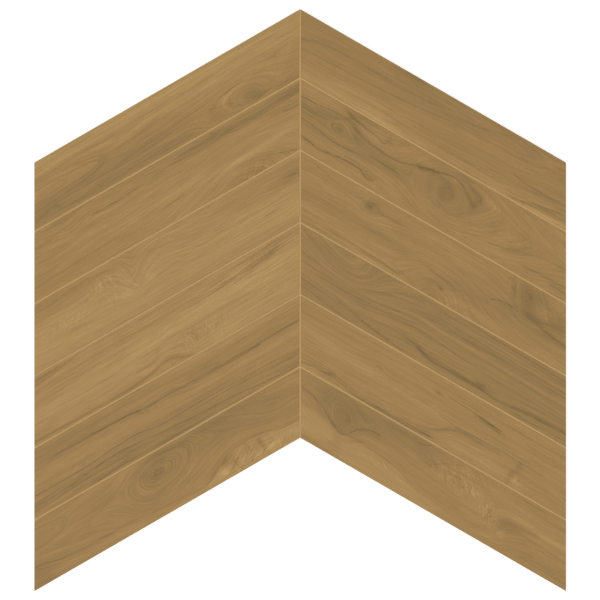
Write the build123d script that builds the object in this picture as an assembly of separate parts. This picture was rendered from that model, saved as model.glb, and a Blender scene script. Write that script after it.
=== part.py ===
from build123d import *
import os
from math import cos, radians, tan

# One-piece porcelain tile shaped as a block of chevron planks. It lies face up on its back.
# X runs across the tile, with the centre joint at X = 0. Y runs to the chevron's point.
# The origin is at the middle of the back's bounding box, on the plane that the tile rests on.

# Outline, in millimetres and degrees
tile_width = 600.0
chevron_angle = 30.0
thickness = 9.0

# Courses of planks, each a pair that meets at the centre joint
courses = 6
plank_width = 68.25
first_course_trim = 1.8  # how much narrower the rectified edge leaves the course at the point

# Joints pressed into the face between the planks
joint_width = 2.25
joint_depth = 0.8
joint_wall_run = 0.35  # how far each drafted wall leans in from the joint's mouth to its floor

# Edges
arris_bevel = 0.5  # micro-bevel ground along the rim of the face
notch_radius = 1.0  # what the cutting jet leaves in the inside corner

# Keying relief pressed into the back: shallow square cells between ribs, inside a plain rim
cell_size = 33.0
rib_width = 5.0
cell_depth = 0.8
cell_draft = 40.0  # lean of the cell walls, in degrees from upright, so that the die lets go
rim_width = 7.0
smallest_cell_share = 0.2  # a cell that the rim cuts to less than this share stays solid

# Worked out from the sizes above
slope = tan(radians(chevron_angle))
across_to_along = 1 / cos(radians(chevron_angle))  # turns a width across a plank into one along Y
half_width = tile_width / 2
rise = half_width * slope
joints = courses - 1
width_across_courses = courses * plank_width + joints * joint_width - first_course_trim
side_length = width_across_courses * across_to_along
tile_length = side_length + rise
point_y = tile_length / 2
notch_y = point_y - side_length
overrun = 5.0  # how far a cutter runs past the edge that it cuts through


def chevron(inset=0.0):
    """The tile's plan outline, or one that lies a distance inside it, as a face."""
    top = point_y - inset * across_to_along
    bottom = notch_y + inset * across_to_along
    side = half_width - inset
    drop = side * slope
    return make_face(
        Polyline(
            (0, top),
            (side, top - drop),
            (side, bottom - drop),
            (0, bottom),
            (-side, bottom - drop),
            (-side, top - drop),
            close=True,
        )
    )


def blank():
    """The plain pressed and rectified slab, with its inside corner and its bevelled arris."""
    slab = extrude(chevron(), thickness)
    inside_corner = slab.edges().filter_by(Axis.Z).sort_by_distance((0, notch_y, thickness / 2))[0]
    slab = fillet(inside_corner, notch_radius)
    arris = slab.faces().sort_by(Axis.Z)[-1].outer_wire().edges()
    return chamfer(arris, arris_bevel)


def joint_section(stretch):
    """Section of a joint, mouth up, in the plane that the caller places. Stretch widens a slanting cut."""
    mouth = joint_width / 2 * stretch
    floor = (joint_width / 2 - joint_wall_run) * stretch
    lean = (mouth - floor) / joint_depth
    return make_face(
        Polyline(
            (-floor, -joint_depth),
            (floor, -joint_depth),
            (mouth + lean * overrun, overrun),
            (-mouth - lean * overrun, overrun),
            close=True,
        )
    )


def centre_joint():
    """The joint where the left and right planks meet."""
    start = Plane(origin=(0, -tile_length, thickness), x_dir=(1, 0, 0), z_dir=(0, -1, 0))
    return extrude(start * joint_section(1.0), amount=-2 * tile_length)


def course_joint(number):
    """The pair of slanting joints below the given course, counted from the point."""
    planks_above = number * plank_width - first_course_trim
    middle_y = point_y - (planks_above + (number - 0.5) * joint_width) * across_to_along
    section = Plane(origin=(0, middle_y, thickness), x_dir=(0, 1, 0), z_dir=(1, 0, 0))
    right = extrude(
        section * joint_section(across_to_along),
        amount=(half_width + overrun) * across_to_along,
        dir=(1, -slope, 0),
    )
    return [right, mirror(right, Plane.YZ)]


def keying_cells():
    """The mouths of the shallow cells in the back, as faces on the plane that the tile rests on."""
    pitch = cell_size + rib_width
    columns = 2 * int(tile_width / 2 / pitch) + 2  # an even number, so that a rib runs down the middle
    rows = 2 * int(tile_length / 2 / pitch) + 2
    grid = Sketch() + GridLocations(pitch, pitch, columns, rows) * Rectangle(cell_size, cell_size)
    cells = []
    for cell in (grid & chevron(rim_width)).faces():
        if cell.area > smallest_cell_share * cell_size**2:
            cells.append(cell)
    return cells


def chevron_tile():
    """The whole tile, one solid."""
    cutters = [centre_joint()]
    for number in range(1, courses):
        cutters += course_joint(number)
    face_cut = blank() - cutters
    return face_cut - [extrude(cell, cell_depth, taper=cell_draft) for cell in keying_cells()]


tile = chevron_tile()
os.makedirs("parts", exist_ok=True)
export_step(tile, "parts/chevron_tile.step")
print("width", round(tile_width, 1), "length", round(tile_length, 2), "side", round(side_length, 2))
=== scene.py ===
"""A chevron porcelain tile with a wood figure printed on its face, seen from straight above."""

import math

import bmesh
import bpy
import numpy as np
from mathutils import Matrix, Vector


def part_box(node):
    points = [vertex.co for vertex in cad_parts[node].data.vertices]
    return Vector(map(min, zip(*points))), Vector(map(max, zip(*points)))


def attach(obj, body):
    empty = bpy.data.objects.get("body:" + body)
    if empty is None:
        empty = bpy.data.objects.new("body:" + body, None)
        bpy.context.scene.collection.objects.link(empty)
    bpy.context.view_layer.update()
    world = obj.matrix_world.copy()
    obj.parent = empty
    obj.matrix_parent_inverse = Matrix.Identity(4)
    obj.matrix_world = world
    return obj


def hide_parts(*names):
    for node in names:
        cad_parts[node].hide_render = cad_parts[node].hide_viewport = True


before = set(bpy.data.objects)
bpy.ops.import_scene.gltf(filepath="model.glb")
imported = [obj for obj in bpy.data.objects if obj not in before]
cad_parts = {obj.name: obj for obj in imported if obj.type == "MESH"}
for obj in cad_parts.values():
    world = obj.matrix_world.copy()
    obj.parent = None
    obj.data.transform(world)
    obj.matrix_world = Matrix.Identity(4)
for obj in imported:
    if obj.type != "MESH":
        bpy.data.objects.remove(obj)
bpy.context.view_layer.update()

# Sizes, in millimetres. The overall ones come from the frame.
MM = 0.001
low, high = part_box("chevron_tile")
chevron_angle = math.radians(30)
slope = math.tan(chevron_angle)
across_to_along = 1 / math.cos(chevron_angle)
half_width = (high.x - low.x) / 2 / MM
tile_length = (high.y - low.y) / MM
thickness = (high.z - low.z) / MM
point_y = tile_length / 2
side_length = tile_length - half_width * slope
width_across = side_length / across_to_along

courses = 6
joint_width = 2.25
joint_depth = 0.8
joint_floor = 0.74  # from a joint's middle to where its floor starts to round up
joint_lip = 1.24  # from a joint's middle to where its lip ends on the face
first_course_trim = 1.8
plank_width = (width_across + first_course_trim - (courses - 1) * joint_width) / courses
arris_bevel = 0.5
notch_radius = 1.0
glaze_line = 1.15  # how far below the face the glaze and its underglaze end on the cut edge

# Spacing of the face's mesh
rows_in_plank = 48
columns_in_plank = 128
busy_places = [(35, 95), (130, 200)]  # distances from the centre joint where the figure is finest
busy_extra = 0.8  # how much more closely the columns stand there

# The figure
plank_end = 346  # a line that is given as far out as this runs on past the tile's side
far_from_vein = 9.0
grain_apart, along_apart = 100, 450  # how far the planks' figures lie from one another in the noise

# Heights and distances that tell the mesh's parts from one another
back_relief = 2 * MM  # the back's points all lie below this height, and the face's above it
touching = 1e-6


def smooth_step(low_end, high_end, value):
    """0 up to the low end and 1 from the high end, with a smooth rise between them."""
    t = np.clip((value - low_end) / (high_end - low_end), 0, 1)
    return t * t * (3 - 2 * t)


# The face's grid


def plank_span(course):
    """Where a course starts and ends, measured straight across the planks from the tile's upper edge."""
    start = (course - 1) * (plank_width + joint_width) - first_course_trim
    return max(start, 0.0), start + plank_width


def joint_lines():
    """Distances from a joint's middle at which its section is drawn, on one side."""
    first_turn, second_turn = joint_floor + 0.17, joint_floor + 0.33
    return [joint_floor, first_turn, second_turn, joint_lip]


def grid_rows():
    """Where the face's rows lie, measured straight across the planks."""
    rows = [0.0]
    for course in range(1, courses + 1):
        start, end = plank_span(course)
        lip = joint_lip - joint_width / 2
        start += arris_bevel if course == 1 else lip
        end -= arris_bevel if course == courses else lip
        rows += list(np.linspace(start, end, rows_in_plank))
        if course < courses:
            middle = plank_span(course)[1] + joint_width / 2
            rows += [middle - d for d in reversed(joint_lines()[:-1])]
            rows.append(middle)
            rows += [middle + d for d in joint_lines()[:-1]]
    rows.append(width_across)
    return np.array(rows)


def grid_columns():
    """Where the face's columns lie, as distances from the centre joint, the left ones below 0."""
    fillet_reach = notch_radius * math.sin(chevron_angle)
    side = [fillet_reach / 2, fillet_reach] + joint_lines()[:-1]
    places = np.linspace(joint_lip, half_width - arris_bevel, 3000)
    weight = np.ones_like(places)
    for start, end in busy_places:
        weight += busy_extra * ((places > start) & (places < end))
    shares = np.cumsum(weight) - weight[0]
    side += list(np.interp(np.linspace(0, shares[-1], columns_in_plank), shares, places))
    side.append(half_width)
    side = np.array(side)
    return np.concatenate([-side[::-1], [0.0], side])


def groove(distance):
    """Depth of a joint at a distance from its middle."""
    return joint_depth * (1 - smooth_step(joint_floor, joint_lip, distance))


def joint_distance(across):
    """Distance to the middle of the nearest joint between courses."""
    middles = [plank_span(course)[1] + joint_width / 2 for course in range(1, courses)]
    return np.min([np.abs(across - middle) for middle in middles], axis=0)


def face_heights(x, across):
    """Height of the glazed face, with its joints and its bevelled rim."""
    from_rim = np.minimum(half_width - np.abs(x), np.minimum(across, width_across - across))
    bevel = arris_bevel - from_rim
    sunk = np.maximum(groove(np.abs(x)), groove(joint_distance(across)))
    return thickness - np.maximum(sunk, np.maximum(bevel, 0))


def notch_fillet(x):
    """How far the rounded inside corner stands below the sharp one, down the tile."""
    reach = notch_radius * math.sin(chevron_angle)
    inside = np.clip(np.abs(x), 0, reach)
    centre = notch_radius * across_to_along
    arc = centre - np.sqrt(notch_radius**2 - inside**2)
    return np.where(np.abs(x) < reach, arc - inside * slope, 0)


# The wood figure that is printed on the planks


class Figure:
    """The figure of one plank. u runs out from the centre joint and v down from the plank's upper edge, in
    millimetres. Tones and inks are steps of brightness out of 255."""

    def __init__(self, u, v, number):
        self.u, self.v = u, v
        self.dice = np.random.default_rng(number)
        self.tone = np.zeros_like(u)
        self.grain = v.copy()
        self.along = u.copy()
        self.rings = np.zeros_like(u)
        self.vein_gap = np.full_like(u, far_from_vein)
        self.vein_ink = np.zeros_like(u)
        self.ripple = np.zeros_like(u)
        self.curl = u.copy()
        self.clarity = np.zeros_like(u)

    def wander(self, size):
        """A small natural waver along the plank."""
        total = np.zeros_like(self.u)
        for length, share in ((95, 0.6), (41, 0.3), (17, 0.12)):
            total += share * np.sin(2 * np.pi * self.u / length + self.dice.uniform(0, 2 * np.pi))
        return size * total

    def line(self, points, tail):
        """A smooth line through the points: its v at every u, and how fully it is there, from 0 to 1."""
        us, vs = np.array(points, float).T
        slopes = np.gradient(vs, us)
        u = np.clip(self.u, us[0], us[-1])
        i = np.clip(np.searchsorted(us, u) - 1, 0, len(us) - 2)
        span = us[i + 1] - us[i]
        t = (u - us[i]) / span
        v = (1 + 2 * t) * (1 - t) ** 2 * vs[i] + t**2 * (3 - 2 * t) * vs[i + 1]
        v += span * (t * (1 - t) ** 2 * slopes[i] - t**2 * (1 - t) * slopes[i + 1])
        left = 1 if us[0] <= 0 else smooth_step(us[0] - tail / 3, us[0] + tail, self.u)
        right = 1 if us[-1] >= plank_end else 1 - smooth_step(us[-1] - tail, us[-1] + tail / 3, self.u)
        return v, left * right

    def around(self, u, v, turn):
        """Offsets from a place, along and across a direction that rises by turn degrees on its way out."""
        angle = np.radians(turn)
        du, dv = self.u - u, self.v - v
        return du * np.cos(angle) - dv * np.sin(angle), du * np.sin(angle) + dv * np.cos(angle)

    def flow(self, *lines):
        """The grain runs along these lines, given from the upper edge down, and spreads evenly between."""
        beyond = 4.0  # how far outside the plank the first and last lines lie
        least_gap = 0.4
        heights = [np.full_like(self.u, -beyond)]
        for points in lines:
            height = self.line(points, 1.0)[0] + self.wander(0.4)
            heights.append(np.maximum(height, heights[-1] + least_gap))
        heights.append(np.maximum(plank_width + beyond, heights[-1] + least_gap))
        for upper, lower in zip(heights, heights[1:]):
            here = (self.v >= upper) & (self.v <= lower)
            share = (self.v - upper) / (lower - upper)
            self.grain = np.where(here, upper.mean() + share * (lower.mean() - upper.mean()), self.grain)

    def band(self, points, width, amount, tail=25.0):
        """A soft streak along the grain."""
        line, there = self.line(points, tail)
        line = line + self.wander(0.5)
        self.tone += amount * there * np.exp(-(((self.v - line) / width) ** 2))

    def vein(self, points, width, ink, halo=0.0, side=0.0, tail=12.0):
        """A fine dark line with a crisp core. Its soft halo may lie to one side (-1 above, 1 below)."""
        line, there = self.line(points, tail)
        line = line + self.wander(0.35)
        gap = (self.v - line) / width
        nearer = (np.abs(gap) < np.abs(self.vein_gap)) & (there > 0.02) & (np.abs(gap) < 5)
        self.vein_gap = np.where(nearer, gap, self.vein_gap)
        self.vein_ink = np.where(nearer, ink * there, self.vein_ink)
        if halo:
            soft = width * 2.6
            self.tone -= halo * there * np.exp(-(((self.v - line - side * soft * 0.6) / soft) ** 2))

    def below(self, points, amount, soft=2.0, tail=10.0):
        """A lighter or darker field under a line."""
        line, there = self.line(points, tail)
        line = line + self.wander(0.8)
        self.tone += amount * there * smooth_step(-soft, soft, self.v - line)

    def patch(self, u, v, long, high, amount, turn=0.0, edge=1):
        """A soft cloud of tone. An edge above 1 makes it flatter, with a clearer outline."""
        a, b = self.around(u, v, turn)
        self.tone += amount * np.exp(-(((a / long) ** 2 + (b / high) ** 2) ** edge))

    def tones(self, *places):
        """Several soft clouds of tone, each given by the values that patch takes."""
        for place in places:
            self.patch(*place)

    def clear(self, *places):
        """How much more distinct the grain is in places, each given by its u, v, length, height and share."""
        for u, v, long, high, share in places:
            self.clarity += share * np.exp(-(((self.u - u) / long) ** 2) - ((self.v - v) / high) ** 2)

    def eye(
        self, u, v, long, high, rings, contrast, heart=None, turn=0.0, heart_turn=None, shade=0.0, tip=1.0
    ):
        """Growth rings that the grain flows round. They close in on the heart, which may lie off the middle
        and be turned otherwise. Long may be a pair, for before and after the middle. A tip below 1 draws
        their ends out to points."""
        heart = heart or (u, v)
        before, after = long if isinstance(long, tuple) else (long, long)
        heart_turn = turn if heart_turn is None else heart_turn
        bumps = self.dice.uniform(0, 6, 3)
        rounds = 24  # enough for the rings' outline to settle
        r = np.ones_like(self.u)
        for _ in range(rounds):
            out = np.clip(r, 0, 1)
            lean = heart_turn + (turn - heart_turn) * out
            a, b = self.around(heart[0] + (u - heart[0]) * out, heart[1] + (v - heart[1]) * out, lean)
            a = a / np.where(a < 0, before, after)
            angle = np.arctan2(b / high, a)
            lumps = 1 + 0.04 * np.sin(2 * angle + bumps[0]) + 0.03 * np.sin(3 * angle + bumps[1])
            lumps += 0.02 * np.sin(5 * angle + bumps[2])
            r = np.maximum(r, 1e-3)
            side = r * (np.abs(b) / high / r) ** tip
            r = (r + np.hypot(a, side) / lumps) / 2
        rim = np.abs(r - 1) < 0.15
        level = np.mean((self.grain - b * np.cos(np.radians(turn)))[rim])
        pushed = self.grain - (self.grain - level) / np.maximum(r, 1) ** 2
        inside = 1 - smooth_step(0.85, 1.1, r)
        self.grain = pushed * (1 - inside) + (level + rings * (1 - r)) * inside
        clear = contrast * (1 - smooth_step(0.7, 1.35, r)) * (0.25 + 0.75 * smooth_step(0.1, 0.5, r))
        self.rings = np.where(r < 0.5, clear, np.maximum(self.rings, clear))
        self.tone -= shade * np.exp(-((r / 0.75) ** 2))

    def tongue(self, upper, lower, contrast):
        """Nested points of growth rings between two lines that come together at the tip."""
        top = self.line(upper, 1.0)[0] + self.wander(0.3)
        bottom = self.line(lower, 1.0)[0] + self.wander(0.3)
        inside = bottom - top > 0.3
        inside &= (self.v > top) & (self.v < bottom)
        round_tip = 1.2
        from_top, from_bottom = (top - self.v) / round_tip, (self.v - bottom) / round_tip
        depth = -round_tip * np.log(np.exp(from_top) + np.exp(from_bottom))
        other_wood = 40  # sets the tongue's grain off from the grain around it
        self.grain = np.where(inside, depth - other_wood, self.grain)
        self.rings = np.where(inside, contrast, self.rings)

    def curls(self, u, v, long, high, turn, amount, glow=0.0):
        """Cross-grain ripples, as where the fibres wave. They follow one another in the direction of turn."""
        a, b = self.around(u, v, 0)
        there = np.exp(-((a / long) ** 2) - (b / high) ** 2)
        stronger = amount * there > self.ripple
        across, _ = self.around(u, v, turn)
        self.ripple = np.where(stronger, amount * there, self.ripple)
        self.curl = np.where(stronger, across, self.curl)
        self.tone += glow * there


def left_1(p):
    p.clear(
        (170, 34, 300, 90, 0.12), (15, 24, 30, 14, 0.5), (80, 21, 30, 6, 0.5), (215, 22, 50, 8, 0.45),
        (300, 4, 30, 8, 0.7), (130, 42, 14, 10, -0.3), (220, 62, 90, 8, -0.2), (40, 3, 16, 5, -0.25),
    )
    p.tones(
        (93, 41, 12, 3, -4), (228, 24, 24, 3, -5), (313, 34, 16, 5, -3), (245, 16, 16, 3, 4),
        (250, 37, 12, 4, 3), (322, 48, 20, 5, 3), (232, 62, 30, 3, 4), (80, 50, 12, 3, -4),
        (103, 43, 9, 3, 4), (14, 54, 20, 3, -4), (330, 45, 20, 5, -4),
    )
    p.flow(
        [(0, 16.5), (100, 15.5), (200, 16), (280, 17), (346, 19)],
        [(0, 27), (30, 31), (70, 32), (120, 30), (170, 30), (225, 33), (252, 34.5), (262, 30.5), (290, 26),
         (346, 22.5)],
        [(0, 29), (30, 33), (70, 34), (120, 32), (170, 32), (225, 35), (252, 36.5), (268, 42), (300, 46.5),
         (346, 49)],
        [(0, 46), (40, 41), (70, 37), (98, 39), (144, 42), (194, 46), (250, 49), (346, 52)],
        [(0, 64), (40, 64), (75, 62), (118, 48), (158, 50), (225, 54), (346, 60)],
    )
    p.tongue(
        [(252, 35.5), (262, 30.5), (290, 26), (346, 22.5)],
        [(252, 35.5), (268, 42), (300, 46.5), (346, 49)],
        contrast=0.5,
    )
    p.band([(0, 9), (120, 10), (346, 8)], 14, 7)
    p.patch(225, 48, 130, 18, -10)
    p.band([(0, 62), (150, 62), (346, 65)], 8, -5)
    p.tones(
        (180, 38, 30, 4, -3), (197, 44.5, 28, 2.4, -6, -6), (125, 45, 30, 5, 3), (290, 36, 30, 5, 3),
        (255, 35, 9, 5, -4), (312, 36, 30, 6, -5), (14, 62, 26, 5, -6),
    )
    p.eye(78, 50, 41, 15, 18, 1.0, heart=(61, 57), heart_turn=25, shade=1, tip=0.7)
    p.tones((61.5, 57, 13.5, 7, -9, 25, 2), (63, 57, 5, 2.5, -3, 30), (100, 46, 14, 5, 4))
    p.eye(4, 32, 30, 6, 8, 0.6, tip=0.7)
    p.band([(82, 38.5), (92, 42), (102, 49)], 1.2, 8, tail=6)
    p.band([(60, 38), (80, 39), (93, 44)], 1.0, 6, tail=8)
    p.band([(74, 40), (82, 44), (86, 52)], 0.9, 5, tail=4)
    p.vein([(0, 16.5), (100, 15.5), (200, 16), (280, 17), (346, 19)], 0.7, 5, halo=2)
    p.band([(180, 15.5), (270, 17), (346, 19)], 1.8, -6, tail=50)
    p.band([(20, 7), (120, 6), (250, 8)], 1.5, 4)
    p.band([(100, 23), (180, 22.5), (240, 25)], 1.6, 5)
    p.vein(
        [(40, 45), (44, 40.5), (56, 38.5), (76, 37), (94, 39.5), (107, 42.5), (118, 46.8)],
        0.8, 11, tail=3,
    )
    p.vein([(74, 63), (84, 56), (96, 51.5), (108, 49.5), (118, 47.2)], 0.8, 10, tail=3)
    p.tones((113, 46, 8, 2.6, -5), (325, 50, 30, 10, -4), (215, 48, 30, 4, 3))
    p.vein([(252, 34.5), (262, 30), (290, 25), (346, 22.5)], 0.8, 8, halo=3, side=1, tail=5)
    p.vein([(252, 36.5), (268, 42.5), (300, 47), (346, 50)], 0.9, 9, halo=3, side=-1, tail=5)
    p.vein([(303, 35.5), (315, 31), (346, 28)], 0.7, 8, tail=5)
    p.vein([(303, 36), (320, 39.5), (346, 42)], 0.7, 8, tail=5)
    p.vein([(0, 38), (11, 39), (15, 42), (20, 43)], 0.7, 8, tail=3)
    p.vein([(29, 47), (32, 50), (36, 53)], 0.9, 8, tail=3)
    p.vein([(118, 47.5), (158, 48.5), (203, 51), (280, 51.5), (346, 54)], 0.8, 8, halo=2, tail=20)
    p.vein([(100, 39), (144, 41.5), (194, 46), (250, 48.5)], 0.8, 7, halo=2, tail=20)
    p.vein([(190, 60), (260, 62), (346, 60)], 0.8, 6, halo=2, tail=30)
    p.vein([(310, 58), (322, 54.5), (336, 57), (346, 60)], 0.7, 9, halo=2, tail=4)
    p.vein([(318, 62), (332, 59), (346, 62)], 0.7, 7, tail=4)
    p.band([(150, 52.5), (250, 54), (346, 53)], 1.2, 5)
    p.vein([(20, 64), (46, 62), (60, 66)], 0.8, 7)


def left_2(p):
    p.clear(
        (170, 34, 300, 90, 0.15), (185, 13, 24, 14, 1.0), (295, 14, 26, 10, 0.8), (50, 6, 50, 6, 0.3),
        (120, 55, 20, 12, 0.35), (132, 6, 16, 6, -0.4), (80, 42, 12, 8, -0.35), (48, 61, 10, 5, -0.3),
        (295, 55, 50, 10, -0.3),
    )
    p.tones(
        (330, 43, 16, 3, 3), (112, 42, 20, 3, -2), (168, 9, 16, 6, -4), (277, 22, 18, 3, -1),
        (338, 52, 16, 10, -3), (55, 60, 6, 4, 3), (32, 59, 8, 3, 3), (100, 55, 18, 2.5, 5, -18),
    )
    p.flow(
        [(0, 8), (45, 9), (76, 11), (105, 9), (126, 11), (150, 8), (220, 6), (290, 3), (312, 6), (346, 4)],
        [(0, 23), (60, 22), (126, 20), (203, 14.5), (239, 17), (268, 15), (286, 16.5), (297, 20), (318, 18),
         (346, 17.5)],
        [(0, 42), (90, 40.5), (203, 42), (346, 46)],
        [(0, 60), (45, 55), (80, 52), (120, 57), (150, 60), (225, 60), (346, 64)],
    )
    p.band([(0, 7), (60, 8), (120, 8), (165, 9)], 6, -10, tail=50)
    p.band([(10, 43), (160, 44)], 4, 6)
    p.tones(
        (56, 56, 26, 3, -3, 6), (215, 51, 26, 3, 5), (70, 64, 34, 8, -4), (320, 46, 60, 20, -3),
        (12, 20, 28, 4, -8), (105, 50, 24, 3, 4), (225, 7, 80, 5, -3),
    )
    p.band([(0, 47), (60, 45), (110, 48)], 4, 4)
    p.vein([(0, 3.5), (45, 3.5), (80, 3), (110, 2.5)], 0.7, 7)
    p.vein([(0, 8.5), (45, 8), (76, 9.5)], 0.8, 8, halo=2, tail=25)
    p.band([(0, 6.5), (30, 7), (60, 6)], 1.3, -4)
    p.band([(0, 10), (70, 10.5), (110, 9)], 1.2, -4)
    p.tones((185, 4, 44, 5, -5), (113, 7, 5, 5, -5, -50), (142, 7, 14, 2, -4))
    p.vein(
        [(0, 11.5), (45, 12.4), (66, 12.8), (79, 14), (101, 11.5), (126, 13.4), (144, 12), (170, 11)],
        0.9, 10, halo=2,
    )
    p.patch(94, 9.5, 9, 2.5, -6)
    p.vein([(108, 4), (121, 2), (128, 4.2), (140, 2)], 0.8, 8, tail=4)
    p.vein([(100, 4), (115, 5), (128, 8), (145, 6.5), (165, 7)], 0.8, 8, halo=2, tail=8)
    p.band([(20, 6), (55, 6.2), (90, 5.5)], 0.9, 5)
    p.band([(60, 11), (90, 11.8), (120, 10.8)], 0.8, 5)
    p.patch(31, 20, 12, 2, -6)
    p.vein([(0, 24), (14, 23), (24, 22)], 0.8, 11, halo=2, tail=5)
    p.vein([(225, 1), (289, 2), (304, 5.5), (320, 5), (346, 2)], 0.8, 9, halo=3, side=-1)
    p.patch(313, 3, 20, 3.5, -6)
    p.vein(
        [(203, 13.4), (217, 13.8), (237, 16.4), (250, 15.8), (262, 14.7), (280, 14.4), (291, 18.6),
         (300, 19.5), (316, 17.4), (346, 17.4)],
        0.7, 12, halo=3, tail=18,
    )
    p.vein([(208, 12.6), (239, 14.4), (260, 14.8)], 0.6, 7, tail=14)
    p.vein([(259, 16), (273, 18), (291, 20)], 0.6, 8, tail=5)
    p.band([(262, 16.6), (284, 17)], 0.9, 6, tail=6)
    p.band([(126, 18.5), (182, 18.5), (212, 19.3)], 1.0, 6, tail=10)
    p.patch(285, 22.5, 18, 2, -4)
    p.eye(80, 74, 68, 26, 18, 0.6, tip=0.8)
    p.vein([(2, 67.5), (20, 62), (36, 57.5), (46, 54.5)], 0.8, 11, halo=3, side=1, tail=5)
    p.vein([(46, 54.5), (60, 51.5), (80, 50.5), (96, 52), (110, 58), (140, 67)], 0.8, 5, halo=2, tail=6)
    p.band([(96, 53), (116, 60), (140, 68)], 1.3, 5, tail=6)
    p.band([(76, 56), (96, 60), (112, 67)], 1.1, 4, tail=6)
    for start in (49, 55, 62, 68):
        p.patch(start, 63.5, 5, 1.1, -12, turn=-62)
        p.patch(start + 3, 63.5, 4, 0.9, 6, turn=-62)
    p.patch(77, 65, 3.5, 1.2, -7, turn=-20)
    p.vein([(95, 48), (150, 48.5), (250, 51), (346, 56)], 0.7, 6, halo=1)
    p.band([(120, 40), (200, 41), (300, 43)], 1.4, 4)
    p.band([(0, 43), (50, 42.5), (110, 45)], 1.0, 5)


def left_3(p):
    p.clear(
        (170, 34, 300, 90, 0.08), (70, 35, 60, 12, 0.3), (225, 18, 30, 14, 0.35), (325, 33, 22, 8, 0.35),
        (150, 5, 60, 5, 0.2), (282, 15, 14, 14, -0.55), (250, 56, 18, 12, -0.5), (182, 42, 20, 10, -0.3),
        (165, 60, 16, 8, -0.3),
    )
    p.tones(
        (40, 43.6, 14, 1.1, -7), (40, 36, 24, 1.2, 3), (12, 33, 12, 1.2, -3), (16, 28, 22, 3, -3),
        (205, 47, 14, 4, 3), (209, 7, 14, 3, 3), (132, 34, 14, 4, 2), (12, 25, 22, 4, -6),
        (228, 29, 8, 3, 5, 40),
    )
    p.flow(
        [(0, 20), (60, 17), (120, 18), (162, 13.5), (185, 10.5), (202, 13), (210, 20), (215, 30), (219, 33),
         (226, 24), (236, 12), (250, 6), (346, 8)],
        [(0, 30), (60, 28), (120, 28), (165, 22), (185, 21), (198, 26), (206, 34), (211, 40), (216, 40),
         (226, 32), (240, 22), (256, 18), (280, 24), (346, 22)],
        [(0, 42), (60, 43), (140, 42), (180, 37), (196, 40), (206, 44), (222, 45), (240, 41), (270, 40),
         (346, 38)],
        [(0, 56), (150, 58), (346, 56)],
    )
    p.band([(0, 9), (150, 9), (346, 8)], 9, -5)
    p.patch(10, 18, 30, 7, -11)
    p.band([(40, 14), (130, 14)], 3, -4)
    p.vein([(0, 15), (14, 17), (26, 17)], 0.7, 7, tail=5)
    p.vein([(0, 19), (10, 20), (18, 21)], 0.9, 10, tail=5)
    p.band([(0, 43), (100, 42), (200, 44)], 8, 1)
    p.band([(30, 25), (100, 24), (180, 26)], 7, -3)
    p.band([(0, 52), (346, 54)], 8, 3)
    p.band([(0, 66), (346, 67)], 5, -3)
    p.vein([(28, 43.2), (48, 44)], 0.8, 10, halo=2, tail=5)
    p.vein([(0, 36), (60, 35), (140, 36), (190, 41)], 0.7, 6, halo=1)
    p.band([(20, 40), (60, 38.5), (130, 38)], 1.0, 6)
    p.band([(60, 31), (100, 29), (150, 30)], 1.0, 4)
    p.band([(20, 36.6), (50, 36.6)], 0.9, 7)
    p.vein([(0, 27), (60, 26), (110, 28)], 0.7, 4)
    p.patch(165, 30, 36, 12, 3)
    p.band([(150, 23), (182, 17), (197, 22), (206, 32)], 0.9, 6, tail=8)
    p.band([(150, 30), (184, 26), (198, 31), (206, 39)], 0.9, 5, tail=8)
    p.band([(162, 15), (175, 11), (190, 12.5)], 1.0, 7, tail=6)
    p.vein([(162, 13), (176, 9.5), (192, 10.5)], 0.6, 6, tail=5)
    p.band([(180, 15), (196, 18), (208, 26)], 0.9, 6, tail=5)
    p.vein([(196, 8), (212, 13), (220, 22)], 0.7, 5, tail=5)
    p.vein([(212, 38), (218, 30), (222, 22)], 0.8, 7, tail=4)
    p.patch(222, 22, 8, 6, -4, turn=45)
    p.band([(209, 41), (222, 31), (232, 19), (239, 12)], 1.0, 10, tail=3)
    p.band([(216, 42), (226, 36), (238, 26), (246, 22)], 0.9, 7, tail=3)
    p.band([(222, 35), (233, 22), (244, 12), (250, 7)], 0.8, 6, tail=3)
    p.vein([(214, 41), (225, 31), (236, 17)], 0.6, 8, tail=3)
    p.vein([(240, 38), (247, 28), (256, 23)], 0.7, 8, tail=3)
    p.vein([(228, 9), (240, 3)], 0.8, 5, tail=6)
    p.tones((196, 37, 8, 3, 6, 40), (226, 42, 12, 3, 6, 20), (257, 18, 13, 5, 4, 20))
    p.curls(258, 19, 17, 8, -40, 16)
    p.curls(203, 38, 14, 5, 45, 11)
    p.curls(243, 38, 16, 7, -20, 11)
    p.curls(300, 36, 34, 7, 15, 9)
    p.tones(
        (291, 37, 6, 3, 2), (300, 34, 40, 6, 4), (316, 34, 1.6, 6, -5, 10), (320, 8, 60, 8, -6),
        (291, 46, 13, 2.4, -7),
    )
    p.vein([(268, 14), (275, 24), (290, 31), (320, 33)], 0.8, 5, tail=5)


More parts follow.
